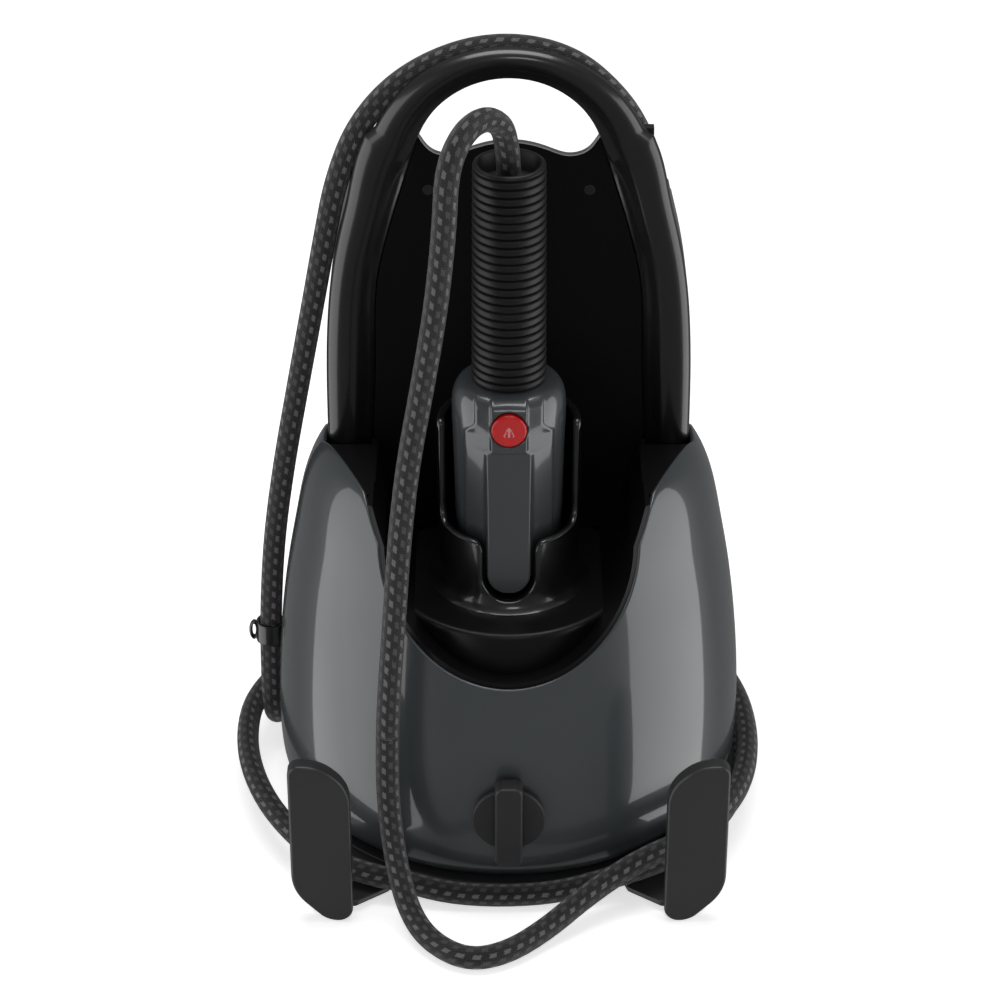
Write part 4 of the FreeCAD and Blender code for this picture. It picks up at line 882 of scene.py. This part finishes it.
def buildPanel():
    inner = recessLine(2.0, liner["gap"] + liner["wall"] - panel["overlap"], panel["low"])
    inner = inner[inner[:, 1] > liner["ledge"] + 0.3]
    side = splineThrough(innerLeg, 80)[::-1] + (panel["overlap"], 0)
    side = side[side[:, 1] > panel["railFoot"]]
    edge = splineThrough(holeEdge, 60)
    half = np.vstack([inner, side, edge])
    outline = np.vstack([half, half[::-1][1:] * (-1, 1)])
    outline = roundedLine(outline, [0] * len(outline), 1.6, True)
    surface = roundedPlate(outline, panel["front"], panel["back"], 0.25)
    makePiece("backPanel", surface, "panelBlack", replaces=("back_panel",), sharp=50)
    # a thin grey bead along the hole's edge; its grey is a painted highlight where the edge catches the light, the
    # panel itself being black
    lipLine = np.vstack([edge, edge[::-1][1:] * (-1, 1)])
    normal = np.gradient(lipLine, axis=0)
    normal = np.stack([-normal[:, 1], normal[:, 0]], -1) / np.linalg.norm(normal, axis=1)[:, None]
    normal *= np.where(normal[:, 1:] < 0, -1, 1)
    section = [(0.3, 5.7), (0.5, 6.1), (0.55, 7.5), (0.5, 8.6), (0.2, 8.95), (-0.3, 8.95), (-0.5, 8.6), (-0.55, 7.5),
               (-0.5, 6.1), (-0.3, 5.7)]
    rows = []
    for up, deep in section:
        moved = lipLine + normal * up
        rows.append(np.stack([moved[:, 0], np.full(len(lipLine), deep), moved[:, 1]], -1))
    makePiece("holeEdgeHighlight", barSurface(np.array(rows)), "edgeHighlightGrey", sharp=50)
    screws = []
    for x in (-panel["screwX"], panel["screwX"]):
        rim = circleLine(panel["screwRadius"], 48, x, panel["screwZ"])
        screws.append(roundedPlate(rim, panel["front"] - 0.2, panel["back"], 0.15))
        socket = circleLine(panel["socketRadius"], 6, x, panel["screwZ"])
        screws.append(roundedPlate(socket, panel["front"] - 0.35, panel["front"], 0.05))
    makePiece("panelScrews", joined(*screws), "innerBlack", replaces=("panel_screws",), sharp=50)
    print("panel")


# rotary control

knob = {"height": 57.0, "radius": 19.8, "back": -121.4, "face": -125.0, "barFace": -133.0, "halfLength": 26.0,
        "halfWidth": 7.5, "corner": 4.2, "shaftRadius": 3, "shaftEnd": -100}


def buildKnob():
    disc = circleLine(knob["radius"], 120, 0, knob["height"])
    h, w, z = knob["halfLength"], knob["halfWidth"], knob["height"]
    bar = roundedLine([(-w, z - h), (w, z - h), (w, z + h), (-w, z + h)], [knob["corner"]] * 4, 0.7, True)
    shaft = circleLine(knob["shaftRadius"], 30, 0, z)
    pieces = joined(roundedPlate(disc, knob["face"], knob["back"], 0.9, 0.5),
                    roundedPlate(bar, knob["barFace"], knob["back"] - 0.4, 1.5, 0.35),
                    roundedPlate(shaft, knob["back"], knob["shaftEnd"], 0.3))
    makePiece("steamControl", pieces, "knobBlack", "knob", ("control_knob",), sharp=40)


# hooks, foot plates and tray

hook = {"face": 141.5, "thick": 9.5, "inner": 85.0, "outer": 118.0, "low": 0.4, "high": 104.0, "rounding": 1.7}
basePlate = {"tray": (124, 117), "trayLevel": (3.0, 7.0), "armLevel": (3.0, 6.5)}


def hookOutline(side):
    i, o, low, high = hook["inner"], hook["outer"], hook["low"], hook["high"]
    corners = [(i, low), (i + 14, low), (o, low + 20), (o, high), (i + 16, high + 0.4), (i, high - 15)]
    line = roundedLine(corners, [8, 14, 28, 6, 24, 24], 0.9, True)
    return line * (side, 1)


def armOutline(side, back):
    corner = hook["face"] - hook["thick"]
    points = [(50, 60), (58, 96), (66, 119), (84, corner), (108, corner), (108, 108), (100, 60), (94, 40)]
    return roundedLine([(side * x, back * y) for x, y in points], [2] * 8, 2.0, True)


def buildBase():
    for side, back, name in ((-1, -1, "front_left_hook"), (1, -1, "front_right_hook"),
                             (-1, 1, "rear_left_hook"), (1, 1, "rear_right_hook")):
        face, thick = hook["face"], hook["thick"]
        place = lambda p, q, d, back=back: np.stack([p, -back * d, q], -1)
        surface = roundedPlate(hookOutline(side), -face, -face + thick, hook["rounding"], place=place)
        makePiece(name.replace("_", ""), surface, "hookBlack", replaces=(name,), sharp=50)
    tray = circleLine(1, 160) * basePlate["tray"]
    surfaces = [roundedPlate(tray, *basePlate["trayLevel"], 1.0, place=lying(*basePlate["trayLevel"]))]
    for side in (-1, 1):
        for back in (-1, 1):
            arm = armOutline(side, back)
            surfaces.append(roundedPlate(arm, *basePlate["armLevel"], 0.8, place=lying(*basePlate["armLevel"])))
    makePiece("baseTray", joined(*surfaces), "hookBlack", replaces=("base_tray",), sharp=50)
    print("base and hooks")


# steam head

head = {"centreY": -40.0, "tongueHalf": 11.4, "tongueLow": 171.5, "tongueReach": 35.8, "flatTop": 9.5,
        "edgeTop": 17.5, "edgeLow": 23.0, "proud": 1.6, "bevelProud": 1.3,
        # heights over which the frame narrows, widens and comes forward, and the radii over which it fades
        "narrowing": (254.5, 257.5), "widening": (263, 272), "rib": (203, 246), "fade": (21, 28.5), "seatDeep": 2.2}
headLine = [(10.4, 172), (22.5, 172.2), (26.4, 175), (27.9, 182), (28.7, 196), (29.4, 222), (30.1, 252), (30.4, 268),
            (29.9, 276), (27.6, 281.6), (24.0, 284.4), (20.5, 285.2), (17, 285.6), (16.8, 299)]
headInside = [(14.2, 299), (14.2, 287), (26, 279), (28, 266), (26.6, 200), (24.4, 178), (10.4, 174.6)]


def headShape(radius, height, angle):
    # The turned body with a raised frame down its front. Across the front the frame is a line of corners: a flat
    # middle, small side walls, a bevel and a last step back to the round body. Each stretch between two corners is
    # met by a ray from the axis; low down the flat middle becomes the rib that fills the dock's notch.
    turn = np.abs(np.arctan2(np.cos(angle), -np.sin(angle))) + 0 * radius
    lower = 1 - ease(height, *head["narrowing"])
    wide = 1 - ease(height, *head["widening"])
    below = np.clip((head["tongueLow"] + head["tongueHalf"] - height) / head["tongueHalf"], 0, 0.97)
    flat = head["flatTop"] + (head["tongueHalf"] - head["flatTop"]) * lower
    flat = flat * np.sqrt(np.maximum(1 - below**2, 1e-4))
    edge = head["edgeTop"] + (head["edgeLow"] - head["edgeTop"]) * wide
    edge = np.minimum(edge, radius * 0.86)
    reach = 1 - ease(height, *head["rib"])
    proud = radius + head["proud"] - 0.9 * lower * ease(height, 240, 252)
    middle = proud * (1 - reach) + head["tongueReach"] * reach
    wallFoot = flat + 0.2 + 1.2 * lower
    bodyAt = lambda x: np.sqrt(np.maximum(radius**2 - x**2, 0))
    footDepth = np.minimum(bodyAt(wallFoot) + head["bevelProud"], middle - 0.2)
    corners = [(0 * flat, middle), (flat, middle), (wallFoot, footDepth),
               (edge, bodyAt(edge) + head["bevelProud"]), (edge + 0.8, bodyAt(edge + 0.8))]
    grown = radius
    for (x, d), (nextX, nextD) in zip(corners, corners[1:]):
        share = (x * nextD - d * nextX) / (np.sin(turn) * (nextD - d) - np.cos(turn) * (nextX - x))
        inside = (turn >= np.arctan2(x, d)) & (turn < np.arctan2(nextX, nextD))
        grown = np.where(inside, np.maximum(share, radius), grown)
    skin = np.where(height > 240, ease(radius, *head["fade"]), radius > 20)
    return radius + (grown - radius) * skin


def buildHead():
    outside = splineThrough(headLine[1:-1], 250)
    profile = np.vstack([headLine[:1], outside, headLine[-1:], headInside])
    angle = np.linspace(0, 2 * math.pi, 300, endpoint=False)
    angle = angle - 0.21 * np.cos(angle)  # columns closer together towards the front
    radius = profile[:, :1] * np.ones(300)
    height = profile[:, 1:] * np.ones(300)
    isOuter = (np.arange(len(profile)) < len(outside) + 1)[:, None]
    grown = headShape(radius, height, angle)
    for _ in range(2):  # soften the corners a little
        grown = 0.5 * grown + 0.25 * (np.roll(grown, 1, 1) + np.roll(grown, -1, 1))
    radius = np.where(isOuter, grown, radius)
    # the button's seat: a shallow well
    away = np.hypot(radius * np.cos(angle), height - button["height"])
    seat = 1 - ease(away, button["radius"] + 0.25, button["radius"] + 1.1)
    radius = radius - head["seatDeep"] * seat * (np.sin(angle) < 0) * isOuter
    points = np.stack([radius * np.cos(angle), head["centreY"] + radius * np.sin(angle), height], -1)
    makePiece("steamHead", gridSurface(points, closeRows=True), "headGrey", "handpiece",
              ("head_front_shell", "head_rear_shell"), sharp=60)


button = {"height": 270.0, "radius": 9.2, "face": -72.8, "back": -66.0, "stemRadius": 2, "stemEnd": -53,
          "mark": (-73.08, -72.5)}


def buildButton():
    disc = circleLine(button["radius"], 96, 0, button["height"])
    stem = circleLine(button["stemRadius"], 24, 0, button["height"])
    pieces = joined(roundedPlate(disc, button["face"], button["back"], 1.2, 0.2),
                    roundedPlate(stem, button["back"] - 1, button["stemEnd"], 0.2))
    makePiece("steamButton", pieces, "buttonRed", "button", ("steam_button",), sharp=50)
    z = button["height"]
    arrow = roundedLine([(-0.6, z - 3.2), (0.6, z - 3.2), (0.6, z + 0.6), (2.0, z + 0.6), (0, z + 3.0), (-2.0, z + 0.6),
                         (-0.6, z + 0.6)], [0.2] * 7, 0.25, True)
    marks = [roundedPlate(arrow, *button["mark"], 0.08)]
    for side in (-1, 1):
        curl = [(side * (1.7 + 0.5 * math.sin(k * 1.1)), z - 3.0 + k * 0.62) for k in range(6)]
        back = [(x + side * 0.7, q) for x, q in reversed(curl)]
        marks.append(roundedPlate(roundedLine(curl + back, [0] * 12, 0.3, True), *button["mark"], 0.06))
    makePiece("buttonMark", joined(*marks), "arrowWhite", "button", (), sharp=50)


grip = {"low": 283.2, "high": 409.0, "radius": 19.7, "topRadius": 18.9, "bore": 15.6, "pitch": 4.65, "groove": 1.35,
        "grooveShare": 0.11, "ribCrown": 0.12, "footBore": 17.3, "step": 16}


def buildGrip():
    z = np.linspace(grip["low"] + 1.0, grip["high"] - 1.6, 420)
    taper = grip["radius"] + (grip["topRadius"] - grip["radius"]) * (z - grip["low"]) / (grip["high"] - grip["low"])
    phase = ((z - grip["low"]) / grip["pitch"]) % 1
    cutIn = np.exp(-(((phase - 0.5) / grip["grooveShare"]) ** 2)) * grip["groove"]
    crown = grip["ribCrown"] * np.cos(phase * 2 * math.pi)
    outside = np.stack([taper - cutIn + crown, z], -1)
    top, bore, low = grip["high"], grip["bore"], grip["low"]
    foot = [(grip["footBore"], low), (grip["radius"] - 0.9, low)]
    mouth = [(grip["topRadius"] - 0.5, top - 0.5), (grip["topRadius"] - 1.4, top), (bore + 0.9, top), (bore, top - 0.9)]
    inside = [(bore, low + grip["step"]), (grip["footBore"], low + grip["step"])]
    profile = np.vstack([foot, outside, mouth, inside])
    points = turnedSurface(profile, 96, (0, head["centreY"]))
    makePiece("gripSleeve", gridSurface(points, closeRows=True), "gripRubber", "handpiece", ("grip_sleeve",),
              sharp=45)
    print("hand piece")


# water tank and its cap

tank = {"half": 50.0, "front": 42.0, "back": 96.0, "level": (170.0, 330.0), "round": 12.0, "middleY": 69.0,
        "barLevel": (342.5, 350), "ribs": 40, "ribDeep": 0.45}
neckLine = [(19.6, 328), (22, 328), (22, 337), (19.6, 337)]
spoutLine = [(5, 166.3), (8, 166.3), (8, 171), (5, 171)]
capLine = [(22.4, 331), (26, 331), (26, 342), (24.8, 343), (0.5, 343), (0.5, 337.4), (22.4, 337.4)]
barLine = [(-20, 66), (20, 66), (20, 72), (-20, 72)]


def buildTank():
    h, f, b = tank["half"], tank["front"], tank["back"]
    outline = roundedLine([(-h, f), (h, f), (h, b), (-h, b)], [tank["round"]] * 4, 1.6, True)
    body = roundedPlate(outline, *tank["level"], 3.5, 0.6, 8, lying(*tank["level"]))
    rings = []
    for line in (neckLine, spoutLine):
        ring = roundedLine(line, [0.3] * 4, 0.8, True)
        rings.append(gridSurface(turnedSurface(ring, 72, (0, tank["middleY"])), closeRows=True))
    makePiece("waterTank", joined(body, *rings), "smokeTank", "tank", ("water_tank",), sharp=50)
    profile = roundedLine(capLine, [0.3, 0.5, 0.8, 1, 0, 0, 0.3], 0.6, True)

    def ribbed(radius, height, angle):
        # small square ribs round the cap's side
        onSide = (radius > 25.2) * (height < 341.5)
        return radius + tank["ribDeep"] * np.sign(np.cos(angle * tank["ribs"])) * onSide, height

    cap = turnedSurface(profile, 240, (0, tank["middleY"]), ribbed)
    bar = roundedLine(barLine, [2.6] * 4, 0.8, True)
    barPlate = roundedPlate(bar, *tank["barLevel"], 1.4, 0.2, 5, lying(*tank["barLevel"]))
    pieces = joined(gridSurface(cap, closeRows=True), barPlate)
    makePiece("tankCap", pieces, "knobBlack", "tank_closure", ("tank_cap",), sharp=40)
    print("tank")


# nodes that keep their own shape

nodeFinishes = {
    "rubber_feet": "footRubber", "base_screws": "screwSteel", "rear_cover": "panelBlack",
    "hose_insert": "innerBlack", "steam_regulator": "brassTurned", "head_screws": "screwSteel",
    "trigger_valve": "brassTurned", "button_spring": "screwSteel", "grip_core": "innerBlack",
    "hose_collet": "innerBlack", "steam_pipe": "brassTurned", "steam_nozzle": "brassTurned", "tank_well": "linerBlack",
    "boiler": "castAluminium", "heating_element": "screwSteel", "boiler_stand": "innerBlack",
    "thermostat": "innerBlack", "thermal_fuse": "silicone", "safety_valve": "brassTurned", "steam_valve": "innerBlack",
    "pump_pad": "footRubber", "water_pump": "innerBlack", "control_board": "boardGreen", "terminal_block": "silicone",
    "mains_gland": "footRubber", "outlet_fitting": "glossBlack", "feed_tube": "silicone",
    "pressure_tube": "silicone", "steam_tube": "silicone",
}


def dressNodes():
    for name, finish in nodeFinishes.items():
        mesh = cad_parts[name].data
        mesh.materials.clear()
        mesh.materials.append(finishes[finish])
    print("carried nodes dressed")


def buildFloor():
    mesh = bpy.data.meshes.new("floor")
    size = studio["floorHalf"]
    mesh.from_pydata([(-size, -size, 0), (size, -size, 0), (size, size, 0), (-size, size, 0)], [], [(0, 1, 2, 3)])
    material, nodes, links, shader = nodeTree("paleFloor")
    shader.inputs["Base Color"].default_value = studio["floorColour"]
    shader.inputs["Roughness"].default_value = studio["floorRough"]
    shader.inputs["Emission Color"].default_value = studio["worldColour"]
    shader.inputs["Emission Strength"].default_value = studio["floorGlow"]
    mesh.materials.append(material)
    floor = bpy.data.objects.new("floor", mesh)
    bpy.context.collection.objects.link(floor)
    floor.visible_glossy = False  # the side softboxes show in the gloss down to the floor


buildStudio()
buildFloor()
buildHose()
buildShell()
buildLiner()
buildCup()
buildArch()
buildPanel()
buildKnob()
buildBase()
buildHead()
buildButton()
buildGrip()
buildTank()
dressNodes()
